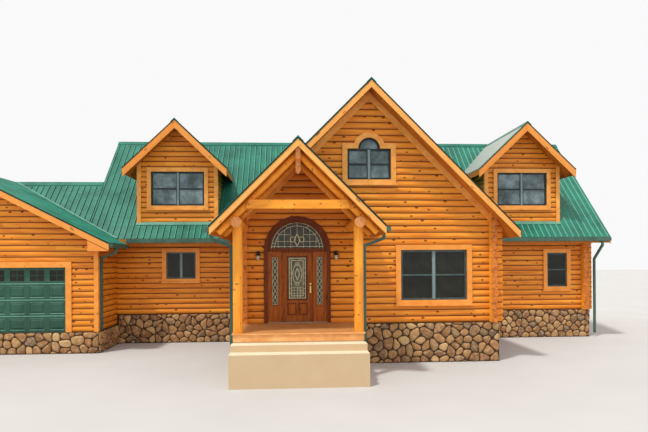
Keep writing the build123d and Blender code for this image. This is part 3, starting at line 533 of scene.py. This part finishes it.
finishes = [
    (mortar(), "foundation_front_walls foundation_side_walls foundation_back_walls"),
    (deck_wood, "main_floor upper_floor porch_deck"),
    (concrete(), "garage_slab porch_base upper_step lower_step"),
    (corner_wood(), "corner_logs"),
    (post_wood("porch_post", "Z"), "porch_posts"),
    (post_wood("porch_plate", "Y"), "porch_plates porch_ridge_beam"),
    (post_wood("porch_beam", "X"), "porch_collar_beam"),
    (post_wood("porch_rafter", "X"), "porch_rafters"),
    (left_rake, "left_rake_boards"),
    (right_rake, "right_rake_boards"),
    (trim, "window_casings garage_trim_boards"),
    (soffit, "house_eave_decks house_left_slope_deck house_right_slope_deck house_back_slope_deck"),
    (soffit, "front_roof_deck porch_roof_deck dormer_roof_decks garage_roof_deck"),
    (painted_metal("roofing", "1d7c68", "125a4b", 0.34, 0.075), "metal_roofing"),
    (painted_metal("gutter_paint", "4a6e61", "30524a", 0.38), "gutters downspouts"),
    (door_paint, "garage_doors"),
    (entry_trim, "entry_casing entry_transom"),
    (entrance_wood, "entry_side_frames door_slab"),
    (plain_metal("threshold_metal", "a58a74", 0.45, 0.2), "threshold"),
    (sash, "window_sashes"),
    (window_pane(), "window_glass garage_door_glass"),
    (leaded("fan_glass", "1b1e15", "4b4e36"), "entry_glass"),
    (leaded("leaded_glass", "3a422e", "85896a"), "door_glass"),
    (leaded("lantern_globe", "b8a98a", "e9dfc6"), "lantern_glass"),
    (plain_metal("brass", "e2c27a", 0.25, 1), "door_handle hinge_frame_leaves hinge_door_leaves"),
    (plain_metal("lantern_black", "1b1a19", 0.5, 0.3), "porch_lanterns"),
]
for name, sill, along_x, along_y in (
    ("front", front_sill, "entrance_wall_left entrance_wall_right entrance_wall_over",
     "front_room_side_walls"),
    ("house", house_sill, "wing_front_walls back_wall", "end_walls"),
    ("garage", garage_floor, "garage_front_wall garage_back_wall", "garage_side_walls"),
    ("dormer", dormer_sill, "dormer_front_walls", "dormer_side_walls"),
):
    finishes.append((log_wall("logs_" + name + "_x", "X", sill), along_x))
    finishes.append((log_wall("logs_" + name + "_y", "Y", sill), along_y))
for finish, names in finishes:
    for name in names.split():
        for slot in nodes[name].material_slots:
            slot.material = finish


# Pieces

def add(name, data):
    """An object in the scene."""
    made = bpy.data.objects.new(name, data)
    bpy.context.scene.collection.objects.link(made)
    return made


def add_mesh(name, verts, faces, material):
    mesh = bpy.data.meshes.new(name)
    mesh.from_pydata(verts, [], faces)
    mesh.materials.append(material)
    return add(name, mesh)


def piece(name, verts, faces, material, body="cabin", smooth=False):
    """A mesh that rides on a body."""
    made = add_mesh(name, verts, faces, material)
    for polygon in made.data.polygons:
        polygon.use_smooth = smooth
    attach(made, body)
    return made


def rectangle(x0, x1, y0, y1):
    """Its corners, in a ring."""
    return [(x0, y0), (x1, y0), (x1, y1), (x0, y1)]


def arc(cx, cz, r, first, last, steps=24, squash=1):
    """Points round part of a circle, from one angle to another in degrees."""
    found = []
    for i in range(steps + 1):
        angle = math.radians(first + (last - first) * i / steps)
        found.append((cx + r * math.cos(angle), cz + r * squash * math.sin(angle)))
    return found


class Solids:
    """Gathers simple solids into one mesh."""

    def __init__(self):
        self.verts = []
        self.faces = []

    def block(self, corners):
        """Eight corners: the lower four in a ring, then the upper four above them."""
        base = len(self.verts)
        self.verts += [tuple(c) for c in corners]
        for face in ((3, 2, 1, 0), (4, 5, 6, 7), (0, 1, 5, 4), (1, 2, 6, 5), (2, 3, 7, 6), (3, 0, 4, 7)):
            self.faces.append(tuple(base + i for i in face))

    def prism(self, ring, lows, highs):
        """A solid over four points in plan, with a low and a high height at each."""
        self.block([(x, y, z) for heights in (lows, highs) for (x, y), z in zip(ring, heights)])

    def box(self, x0, x1, y0, y1, z0, z1):
        self.prism(rectangle(x0, x1, y0, y1), [z0] * 4, [z1] * 4)

    def slant(self, a, b, wide, tall, drop=0):
        """A bar from point a to point b, wide along the vector wide and tall along Z."""
        a, b, wide = Vector(a), Vector(b), Vector(wide)
        low = Vector((0, 0, -drop - tall))
        high = Vector((0, 0, -drop))
        self.block([p + lift for lift in (low, high) for p in (a, b, b + wide, a + wide)])

    def rake(self, roof, at, side, thick, tall, drop, reach=None):
        """A bar down one slope of a roof, thick along its ridge."""
        wide = (thick, 0, 0) if roof.along == "X" else (0, thick, 0)
        foot = roof.point(at, side, reach or roof.run)
        self.slant(roof.point(at, side, 0), foot, wide, tall, drop)

    def panel(self, x0, x1, z0, z1, back, face, inset):
        """A raised panel that faces the viewer, with sloping edges."""
        low = rectangle(x0, x1, z0, z1)
        high = rectangle(x0 + inset, x1 - inset, z0 + inset, z1 - inset)
        self.block([(x, back, z) for x, z in low] + [(x, face, z) for x, z in high])

    def surround(self, x0, x1, z0, z1, y0, y1, wide):
        """Four bars round a rectangle that faces the viewer."""
        self.box(x0, x1, y0, y1, z0, z0 + wide)
        self.box(x0, x1, y0, y1, z1 - wide, z1)
        self.box(x0, x0 + wide, y0, y1, z0 + wide, z1 - wide)
        self.box(x1 - wide, x1, y0, y1, z0 + wide, z1 - wide)

    def line(self, points, y0, y1, wide):
        """A flat strip that faces the viewer, through points in X and Z."""
        for (xa, za), (xb, zb) in zip(points, points[1:]):
            long = math.hypot(xb - xa, zb - za)
            nx = -(zb - za) / long * wide / 2
            nz = (xb - xa) / long * wide / 2
            ring = [(xa - nx, za - nz), (xb - nx, zb - nz), (xb + nx, zb + nz), (xa + nx, za + nz)]
            self.block([(x, y, z) for y in (y0, y1) for x, z in ring])

    def make(self, name, material, slot, body="cabin", edge=0.003):
        """The mesh as a piece, with its edges eased by the width edge."""
        made = piece(name, self.verts, self.faces, material, body)
        shape = bmesh.new()
        shape.from_mesh(made.data)
        bmesh.ops.recalc_face_normals(shape, faces=shape.faces)
        shape.to_mesh(made.data)
        shape.free()
        if edge:
            bevel = made.modifiers.new("edges", "BEVEL")
            bevel.width = edge
            bevel.segments = 2
            bevel.limit_method = "ANGLE"


# Roofs
rib_pitch = 0.225
rib_margin = 0.03
rib_step = 0.03
rib_shortest = 0.1
rib_base = 0.03
rib_top = 0.009
rib_rise = 0.024
rib_sunk = 0.001
roofing_mesh = nodes["metal_roofing"].data
sheet = BVHTree.FromPolygons([v.co.copy() for v in roofing_mesh.vertices],
                             [p.vertices[:] for p in roofing_mesh.polygons])


def on_roof(x, y, z):
    """Whether the roofing's top is at that height there."""
    hit = sheet.ray_cast(Vector((x, y, z + 0.03)), Vector((0, 0, -1)), 0.05)[0]
    return hit is not None and abs(hit.z - z) < 0.004


def rib_stretches(roof, at, side):
    """The stretches of a rib's line where this slope is the one on top."""
    found = []
    steps = int((roof.run - cap_half) / rib_step)
    opened = None
    for step in range(steps + 1):
        out = cap_half + (roof.run - cap_half) * step / steps
        seen = step == steps or on_roof(*roof.point(at, side, out))
        if seen and opened is None:
            opened = out
        if opened is not None and (not seen or step == steps):
            if out - opened > rib_shortest:
                found.append((opened, out))
            opened = None
    return found


def roof_ribs():
    """Raised ribs down each slope."""
    found = Solids()
    for roof in roofs.values():
        count = int((roof.end - roof.start) / rib_pitch)
        first = (roof.start + roof.end - count * rib_pitch) / 2
        for side in (-1, 1):
            for number in range(count + 1):
                at = first + number * rib_pitch
                if at < roof.start + rib_margin or at > roof.end - rib_margin:
                    continue
                for near, far in rib_stretches(roof, at, side):
                    found.block([roof.point(at + sign * half, side, out, lift)
                                 for half, lift in ((rib_base, -rib_sunk), (rib_top, rib_rise))
                                 for out, sign in ((near, -1), (near, 1), (far, 1), (far, -1))])
    found.make("roof_ribs", rib_paint_with_painted_light, "roofing_green", edge=0)


def roof_edges():
    """Dark folded edges where the sheets end over the rake boards."""
    found = Solids()
    fold = 0.012
    deep = 0.042
    for name, roof in roofs.items():
        ends = [] if name == "link" else [roof.start]
        if name in ("house", "garage"):
            ends.append(roof.end - fold)
        for at in ends:
            for side in (-1, 1):
                found.rake(roof, at, side, fold, deep, 0.002)
    found.make("roof_edges", edge_paint, "gutter_green", edge=0)


def flashings():
    """Aprons under the dormers' front walls, and a strip up the valley beside the garage's roof."""
    found = Solids()
    low, high = 0.02, 0.04
    deep = 0.1
    half = dormer_half + 0.06
    strip = 0.07
    for x in dormer_xs:
        ring = rectangle(x - half, x + half, house_wall_y - deep, house_wall_y)
        slope = [house_slope(y) for _, y in ring]
        found.prism(ring, [z + low for z in slope], [z + high for z in slope])
    garage = roofs["garage"]
    foot_y = house_ridge_y - roofs["house"].run
    foot = (garage.middle + (garage_middle_y - foot_y) / garage.slope, foot_y, house_slope(foot_y))
    found.slant((garage.middle, garage_middle_y, garage.top), foot, (strip, 0, 0), high - low, -high)
    found.make("flashings", flashing_paint, "roofing_green", edge=0)


roof_ribs()
roof_edges()
flashings()

# Flat boards on walls, rakes and the porch's floor
board_face = 0.036
frieze_deep = 0.24
frieze_short = 0.2
eave_board_deep = 0.14
corner_board = 0.15
corner_board_deep = 0.11


def wall_boards():
    """Boards under the tall gable's roof, at the dormers' corners and along the eaves."""
    found = Solids()
    reach = front_half - frieze_short
    for side in (-1, 1):
        found.rake(roofs["front"], -board_face, side, board_face, frieze_deep, roof_thick, reach)
    back = house_wall_y + corner_board_deep
    for dormer in dormers:
        for side in (-1, 1):
            edge = dormer.middle + side * dormer_half
            outer = dormer.middle + side * (dormer_half + board_face)
            inner = dormer.middle + side * (dormer_half + board_face - corner_board)
            for ring in (rectangle(outer, inner, house_wall_y - board_face, house_wall_y),
                         rectangle(outer, edge, house_wall_y, back)):
                found.prism(ring, [house_slope(y) for _, y in ring],
                            [dormer.height(abs(x - dormer.middle)) - roof_thick for x, _ in ring])
    eave = house_slope(house_wall_y) - roof_thick
    for left, right in ((garage_ridge_x + garage_half, front_left), (front_right, house_right)):
        found.box(left, right, house_wall_y - board_face, house_wall_y, eave - eave_board_deep, eave)
    found.make("wall_boards", trim, "trim_wood")


def lower_rakes():
    """A second, lower board under each dormer's rake boards."""
    deep = 0.085
    thick = 0.03
    sunk = 0.003
    for side, name, wood in ((-1, "lower_rakes_left", left_rake), (1, "lower_rakes_right", right_rake)):
        found = Solids()
        for dormer in dormers:
            face = dormer.start + lip - board_face + sunk
            found.rake(dormer, face, side, thick, deep, rake_deep)
        found.make(name, wood, "trim_wood")


def deck_fascia():
    """A broad board round the porch's floor, under the projecting edge of the floor boards."""
    low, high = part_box("porch_deck")
    found = Solids()
    thick = 0.016
    nosing = 0.034
    out = 0.042
    back = -0.065
    top = high[2]
    for wide, z0, z1 in ((thick, low[2], top - nosing - 0.002), (out, top - nosing, top - 0.001)):
        found.box(low[0] - wide, high[0] + wide, low[1] - wide, low[1], z0, z1)
        found.box(low[0] - wide, low[0], low[1], back, z0, z1)
        found.box(high[0], high[0] + wide, low[1], back, z0, z1)
    found.make("deck_fascia", fascia_wood, "floor_boards")


wall_boards()
lower_rakes()
deck_fascia()

# Garage doors and the soffit over them
garage_door_w = 2.54
garage_door_h = 2.134
garage_door_gap = 0.877
door_face = garage_wall_y + 0.08
field_gap = 0.09
field_cut = 0.009
field_margin = 0.012
panel_rise = 0.012
panel_slope = 0.05
bar_half = 0.008
seam_half = 0.012
door_starts = (garage_ridge_x - garage_door_gap - garage_door_w, garage_ridge_x + garage_door_gap)


def garage_panels():
    """Raised centres in the sunk fields, thin bars over the lights above them, and pale strips at the
    section seams and along the fields' edges as painted highlights.
    """
    panels = Solids()
    bars = Solids()
    seams = Solids()
    pitch_x = garage_door_w / 4
    pitch_z = garage_door_h / 4
    bar_depth = (door_face + 0.003, door_face + 0.015)
    for start in door_starts:
        for row in range(4):
            for column in range(4):
                left = start + column * pitch_x + field_gap
                right = start + (column + 1) * pitch_x - field_gap
                low = garage_floor + row * pitch_z + field_gap
                high = garage_floor + (row + 1) * pitch_z - field_gap
                if row < 3:
                    panels.panel(left + field_margin, right - field_margin, low + field_margin,
                                 high - field_margin, door_face + field_cut, door_face - panel_rise,
                                 panel_slope)
                    # Painted highlight: pale strips along the bottom and top edges of each field.
                    for z0, z1 in ((low - 0.02, low), (high, high + 0.008)):
                        seams.box(left - 0.004, right + 0.004, door_face - 0.004, door_face + 0.002, z0, z1)
                    continue
                middle = (left + right) / 2
                centre = (low + high) / 2
                bars.box(middle - bar_half, middle + bar_half, *bar_depth, low, high)
                bars.box(left, right, *bar_depth, centre - bar_half, centre + bar_half)
        # The section seams are real; their pale paint is a painted highlight.
        for row in (1, 2, 3):
            seam = garage_floor + row * pitch_z
            seams.box(start, start + garage_door_w, door_face - 0.006, door_face,
                      seam - seam_half, seam + seam_half)
    panels.make("garage_door_panels", door_paint, "door_green")
    bars.make("garage_light_bars", door_paint, "door_green", edge=0)
    seams.make("garage_door_seams", seam_highlight_paint, "door_green", edge=0)


def garage_returns():
    """Boxed ends that close the soffit under the feet of the garage's front rake boards."""
    garage = roofs["garage"]
    deep = rake_deep + metal
    wide = 0.67
    low = garage.height(garage.run) - deep
    high = garage.height(garage.run - wide) - deep
    found = Solids()
    for side in (-1, 1):
        foot = garage.middle + side * (garage.run - 0.002)
        inner = garage.middle + side * (garage.run - wide)
        found.prism(rectangle(inner, foot, garage.start + 0.013, garage_wall_y), [low] * 4,
                    [high, low + 0.004, low + 0.004, high])
    found.make("garage_returns", left_rake, "trim_wood")


garage_panels()
garage_returns()

# Windows that open in pairs, and a single one: left, right, sill, head and the wall's face
dormer_window = 0.975
paired_windows = (
    (3.05, 5.03, 1.826, 3.309, 0),
    (1.484, 2.772, 5.382, 6.294, 0),
    *((x - dormer_window, x + dormer_window, 5.075, 6.34, house_wall_y) for x in dormer_xs),
    (-4.784, -3.705, 2.361, 3.342, house_wall_y),
)
single_window = (9.715, 10.497, 1.945, 3.248, house_wall_y)
arched_window = paired_windows[1]
arch_r = 0.325


def window_mullions():
    """Paler posts between the halves of the paired windows."""
    found = Solids()
    half = 0.04
    near, far = 0.03, 0.05
    inset = 0.03
    for left, right, low, high, face in paired_windows:
        middle = (left + right) / 2
        found.box(middle - half, middle + half, face + near, face + far, low + inset, high - inset)
    found.make("window_mullions", mullion_paint, "sash_paint")


def window_bars():
    """Broad sash frames round each light of the front windows, with their meeting rails."""
    found = Solids()
    wide = 0.062
    near, far = 0.034, 0.045
    rail_half = 0.024
    widest_plain = 0.6
    lights = [single_window]
    for left, right, *rest in paired_windows:
        middle = (left + right) / 2
        lights += [(left, middle, *rest), (middle, right, *rest)]
    for left, right, low, high, face in lights:
        depth = (face + near, face + far)
        found.surround(left, right, low, high, *depth, wide)
        if right - left > widest_plain:
            middle = (low + high) / 2
            found.box(left + wide, right - wide, *depth, middle - rail_half, middle + rail_half)
    left, right, low, high, face = arched_window
    ring = arc((left + right) / 2, high, arch_r - wide / 2, 0, 180)
    found.line(ring, face + near, face + far, wide)
    found.make("window_bars", sash, "sash_paint", edge=0)


window_mullions()
window_bars()

# The entrance
spring_z = 3.375
fan_r = 0.786
side_light_x = 0.6505
side_light_half = 0.078
side_light_low = 1.72
side_light_high = 3.12
door_light_half = 0.262
door_light_low = 1.89
door_light_high = 3.11


class Came(Solids):
    """Metal lines over glass; face is how far back its front lies."""

    def __init__(self, face):
        super().__init__()
        self.depth = (face - 0.008, face + 0.002)

    def stroke(self, points, wide):
        self.line(points, *self.depth, wide)

    def level(self, x0, x1, z, wide):
        self.stroke([(x0, z), (x1, z)], wide)

    def frame(self, x0, x1, z0, z1, wide):
        self.surround(x0, x1, z0, z1, *self.depth, wide)

    def diamond(self, x, low, middle, high, half, wide):
        self.stroke([(x, low), (x + half, middle), (x, high), (x - half, middle), (x, low)], wide)


def fan_came():
    """The fanlight's metal lines: two arcs, a grid inside them and a flower in the middle."""
    found = Came(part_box("entry_glass")[0][1])
    outer = fan_r - 0.04
    inner = fan_r - 0.13
    pitch = 0.185
    for r in (outer, inner):
        found.stroke(arc(0, spring_z, r, 0, 180), 0.01)
    found.level(-fan_r, fan_r, spring_z + 0.05, 0.01)
    for i in range(-3, 4):
        x = i * pitch
        foot = spring_z if i else spring_z + 0.42
        found.stroke([(x, foot), (x, spring_z + math.sqrt(inner ** 2 - x ** 2))], 0.007)
    for z in (0.2, 0.4):
        reach = math.sqrt(inner ** 2 - z ** 2)
        for side in (-1, 1):
            found.level(side * pitch, side * reach, spring_z + z, 0.007)
    for angle in range(12, 180, 26):
        turn = math.radians(angle)
        found.stroke([(r * math.cos(turn), spring_z + r * math.sin(turn)) for r in (inner, outer)], 0.009)
    centre = spring_z + 0.24
    found.diamond(0, centre - 0.17, centre, centre + 0.18, 0.09, 0.016)
    for side in (-1, 1):
        found.stroke(arc(side * 0.13, centre + 0.02, 0.075, 0, 360, 16), 0.012)
    found.make("fan_came", gold, "handle_brass", edge=0)


def side_came():
    """A chain of diamonds in each side light."""
    found = Came(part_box("entry_glass")[0][1])
    count = 7
    margin = 0.04
    half = 0.055
    step = (side_light_high - side_light_low - 2 * margin) / count
    for side in (-1, 1):
        middle = side * side_light_x
        left, right = middle - side_light_half, middle + side_light_half
        found.frame(left, right, side_light_low + 0.012, side_light_high - 0.012, 0.01)
        for number in range(count):
            low = side_light_low + margin + number * step
            waist = low + step / 2
            found.diamond(middle, low, waist, low + step, half, 0.01)
            found.level(left, middle - half, waist, 0.008)
            found.level(middle + half, right, waist, 0.008)
    found.make("side_light_came", gold, "handle_brass", edge=0)


def door_came():
    """A double border, a tall oval and straight lines in the door's light."""
    found = Came(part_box("door_glass")[0][1])
    low, high = door_light_low, door_light_high
    border, field = 0.02, 0.085
    oval_r = 0.13
    outer = door_light_half - border
    inner = door_light_half - field
    found.frame(-outer, outer, low + border, high - border, 0.012)
    found.frame(-inner, inner, low + field, high - field, 0.012)
    for number in range(1, 8):
        z = low + number * (high - low) / 8
        for side in (-1, 1):
            found.level(side * inner, side * outer, z, 0.008)
    for x in (-0.09, 0, 0.09):
        found.stroke([(x, low + border), (x, low + 0.33)], 0.008)
    for z in (0.17, 0.25, 0.33):
        found.level(-inner, inner, low + z, 0.008)
    middle = (low + high) / 2 + 0.12
    found.stroke(arc(0, middle, oval_r, 0, 360, 28, 2.2), 0.012)
    found.diamond(0, middle - 0.17, middle, middle + 0.17, 0.07, 0.014)
    for side in (-1, 1):
        found.level(side * oval_r, side * inner, middle, 0.009)
        found.stroke(arc(0, middle + side * 0.29, 0.05, 0, 360, 14), 0.01)
    found.make("door_came", gold, "handle_brass", "entrance_door", edge=0)


def entrance_panels():
    """Mouldings and raised panels on the door and below the side lights."""
    panels = Solids()
    mouldings = Solids()
    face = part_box("door_slab")[0][1]
    wide = 0.038
    half = door_light_half + wide
    mouldings.surround(-half, half, door_light_low - wide, door_light_high + wide, face - 0.014, face, wide)
    low, high = 1.42, 1.77
    gap = 0.035
    for x0, x1 in ((-half, -0.03), (0.03, half)):
        mouldings.surround(x0, x1, low, high, face - 0.008, face, 0.026)
        panels.panel(x0 + gap, x1 - gap, low + gap, high - gap, face, face - panel_rise, gap)
    panels.make("door_panels", entrance_wood, "entrance_wood", "entrance_door", edge=0.002)
    mouldings.make("door_mouldings", entry_trim, "entrance_wood", "entrance_door", edge=0.002)
    sides = Solids()
    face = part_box("entry_side_frames")[0][1]
    for middle in (-side_light_x, side_light_x):
        sides.surround(middle - 0.11, middle + 0.11, 1.69, 3.15, face - 0.012, face, 0.022)
        sides.panel(middle - 0.085, middle + 0.085, 1.33, 1.62, face, face - panel_rise, 0.03)
    sides.make("side_frame_panels", entrance_wood, "entrance_wood", edge=0.002)


fan_came()
side_came()
door_came()
entrance_panels()

# Fieldstones over the foundation
stone_size = 0.25
stone_joint = 0.02
stone_bulge = 0.042
stone_out = 0.06
stone_missing = 0.14
smallest_stone = 0.0035


def between(a, b, share):
    """The point that lies a share of the way from a to b."""
    return a[0] + (b[0] - a[0]) * share, a[1] + (b[1] - a[1]) * share


def sides_of(polygon):
    """Each corner with the next one."""
    return zip(polygon, polygon[1:] + polygon[:1])


def clipped(polygon, point, normal):
    """The part of a polygon on the far side of a line from its normal."""
    kept = []
    for a, b in sides_of(polygon):
        da, db = ((p[0] - point[0]) * normal[0] + (p[1] - point[1]) * normal[1] for p in (a, b))
        if da <= 0:
            kept.append(a)
        if da * db < 0:
            kept.append(between(a, b, da / (da - db)))
    return kept


def rounded_ring(polygon):
    """A polygon with its corners cut twice."""
    for _ in range(2):
        ring = []
        for a, b in sides_of(polygon):
            ring += [between(a, b, 0.25), between(a, b, 0.75)]
        polygon = ring
    return polygon


def stone_cells(width, height, rng):
    """Uneven cells that fill a panel."""
    columns = max(1, round(width / (stone_size * 1.15)))
    rows = max(1, round(height / (stone_size * 0.8)))
    sites = {}
    for row in range(-1, rows + 1):
        for column in range(-2, columns + 2):
            u = (column + 0.25 + 0.5 * (row % 2) + rng.uniform(-0.34, 0.34)) * width / columns
            v = (row + 0.5 + rng.uniform(-0.3, 0.3)) * height / rows
            if rng.random() > stone_missing:
                sites[row, column] = (u, v)
    inset = stone_joint / 2
    for (row, column), (u, v) in sites.items():
        shape = rectangle(inset, width - inset, inset, height - inset)
        for r in range(row - 2, row + 3):
            for c in range(column - 2, column + 3):
                other = sites.get((r, c))
                if other is None or (r, c) == (row, column) or len(shape) < 3:
                    continue
                du, dv = other[0] - u, other[1] - v
                far = math.hypot(du, dv)
                normal = (du / far, dv / far)
                reach = far / 2 - inset
                shape = clipped(shape, (u + normal[0] * reach, v + normal[1] * reach), normal)
        if len(shape) < 3:
            continue
        area = sum(a[0] * b[1] - b[0] * a[1] for a, b in sides_of(shape)) / 2
        if abs(area) > smallest_stone:
            yield shape


def stone_panels(name, panels, seed):
    """Stones over upright panels, each given by its first corner, its way, its length and its top."""
    rng = random.Random(seed)
    verts, faces, tints = [], [], []
    for x, y, (way_x, way_y), length, top in panels:
        corner = Vector((x, y, 0))
        way = Vector((way_x, way_y, 0))
        out = Vector((way_y, -way_x, 0))
        for cell in stone_cells(length, top, rng):
            ring = rounded_ring(cell)
            count = len(ring)
            cu = sum(p[0] for p in ring) / count
            cv = sum(p[1] for p in ring) / count
            bulge = stone_bulge * rng.uniform(0.7, 1.15)
            tint = rng.random()
            base = len(verts)
            lean_u = rng.uniform(-0.05, 0.05)
            lean_v = rng.uniform(-0.05, 0.05)
            for scale, lift in ((1, -0.15), (0.93, 0.5), (0.74, 0.86), (0.4, 0.98)):
                for u, v in ring:
                    pu = cu + (u - cu) * scale
                    pv = cv + (v - cv) * scale
                    tilt = (pu - cu) * lean_u + (pv - cv) * lean_v if lift > 0 else 0
                    spot = corner + way * pu + out * (bulge * lift + tilt)
                    verts.append((spot.x, spot.y, pv))
            spot = corner + way * cu + out * bulge
            verts.append((spot.x, spot.y, cv))
            for i in range(count):
                j = (i + 1) % count
                for a in range(base, base + 3 * count, count):
                    faces.append((a + i, a + j, a + count + j, a + count + i))
                last = base + 3 * count
                faces.append((last + i, last + j, last + count))
            tints += [tint] * (4 * count + 1)
    made = piece(name, verts, faces, stones, smooth=True)
    layer = made.data.attributes.new("tint", "FLOAT", "POINT")
    layer.data.foreach_set("value", tints)


def foundation_stones():
    """Stones on every face of the foundation that shows."""
    to_right, to_left, to_back, to_front = (1, 0), (-1, 0), (0, 1), (0, -1)
    step_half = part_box("upper_step")[1][0]
    front_x0, front_x1 = front_left - stone_out, front_right + stone_out
    house_x0, house_x1 = house_left - stone_out, house_right + stone_out
    garage_x0 = garage_ridge_x - garage_half - stone_out
    garage_x1 = garage_ridge_x + garage_half + stone_out
    front_y = -stone_out
    wing_y = house_wall_y - stone_out
    house_back_y = house_back + stone_out
    garage_y = garage_wall_y - stone_out
    garage_back_y = 2 * garage_middle_y - garage_wall_y + stone_out
    stone_panels("front_fieldstones", [
        (step_half, front_y, to_right, front_x1 - step_half, front_sill),
        (front_x1, wing_y, to_right, house_right - front_right, house_sill),
        (garage_x1, wing_y, to_right, front_x0 - garage_x1, house_sill),
        (garage_x0, garage_y, to_right, garage_x1 - garage_x0, garage_floor),
    ], 11)
    stone_panels("side_fieldstones", [
        (front_x1, front_y, to_back, wing_y - front_y, front_sill),
        (front_x0, wing_y, to_front, wing_y - front_y, front_sill),
        (house_x1, wing_y, to_back, house_back_y - wing_y, house_sill),
        (garage_x1, garage_y, to_back, wing_y - garage_y, garage_floor),
        (garage_x0, garage_back_y, to_front, garage_back_y - garage_y, garage_floor),
    ], 12)
    stone_panels("back_fieldstones", [
        (house_x1, house_back_y, to_left, house_x1 - house_x0, house_sill),
        (house_x0, garage_back_y, to_left, house_x0 - garage_x0, garage_floor),
        (house_x0, house_back_y, to_front, house_back_y - garage_back_y, house_sill),
    ], 13)


foundation_stones()


# Camera, floor, backdrop and light

def matched_camera():
    """Looks at the facade from in front of the entrance, at the photograph's angle."""
    yaw, pitch, roll = 0.0617, 0.0033, 0.0062
    place = (-0.234, -16.429, 3.043)
    ahead = Vector((math.sin(yaw) * math.cos(pitch), math.cos(yaw) * math.cos(pitch), math.sin(pitch)))
    level = Vector((math.cos(yaw), -math.sin(yaw), 0))
    above = level.cross(ahead)
    right = math.cos(roll) * level - math.sin(roll) * above
    up = math.sin(roll) * level + math.cos(roll) * above
    camera = add("camera", bpy.data.cameras.new("camera"))
    camera.data.sensor_width = 36
    camera.data.lens = 31.28
    camera.data.shift_y = 0.0642
    camera.data.clip_end = 500
    turn = Matrix((right, up, -ahead)).transposed().to_4x4()
    camera.matrix_world = Matrix.Translation(place) @ turn
    bpy.context.scene.camera = camera


def studio_floor():
    """A plain pale floor."""
    f = Finish("floor", 0.9)
    cloud = f.noise(0.4, 3, 0.5)
    f.finish(f.ramp(cloud, (0.3, (0.47, 0.47, 0.47, 1)), (0.7, (0.5, 0.5, 0.5, 1))))
    reach = 120
    corners = [(x, y, 0) for x, y in rectangle(-reach, reach, -reach, reach)]
    floor = add_mesh("floor", corners, [(0, 1, 2, 3)], f.material)


def surround():
    """Soft light from all round, and white where the camera or a reflection sees past the model."""
    world = bpy.data.worlds.new("surround")
    bpy.context.scene.world = world
    f = Nodes(world, "World")
    camera, glossy, through = (f.node("LightPath", (), "Is " + kind + " Ray")
                               for kind in ("Camera", "Glossy", "Transmission"))
    seen = f.math("MAXIMUM", f.math("MAXIMUM", camera, glossy), through)
    lamp = f.node("Background", ((1, 0.985, 0.96, 1), 1))
    white = f.node("Background", ((1, 1, 1, 1), 0.95))
    f.put(f.output.inputs[0], f.node("MixShader", (seen, lamp, white)))


def suns():
    """A warm key light from high on the left, and a weak wide one from the right."""
    for name, strength, spread, aim, shade in (
        ("key", 2.55, 5, (0.6, 0.6, -1.8), (1, 0.95, 0.87)),
        ("fill", 0.3, 60, (-0.9, 0.8, -0.5), (1, 1, 1)),
    ):
        data = bpy.data.lights.new(name, "SUN")
        data.energy = strength
        data.angle = math.radians(spread)
        data.color = shade
        sun = add(name, data)
        sun.rotation_euler = Vector(aim).to_track_quat("-Z", "Y").to_euler()


matched_camera()
bpy.context.scene.view_settings.view_transform = "Standard"
studio_floor()
surround()
suns()
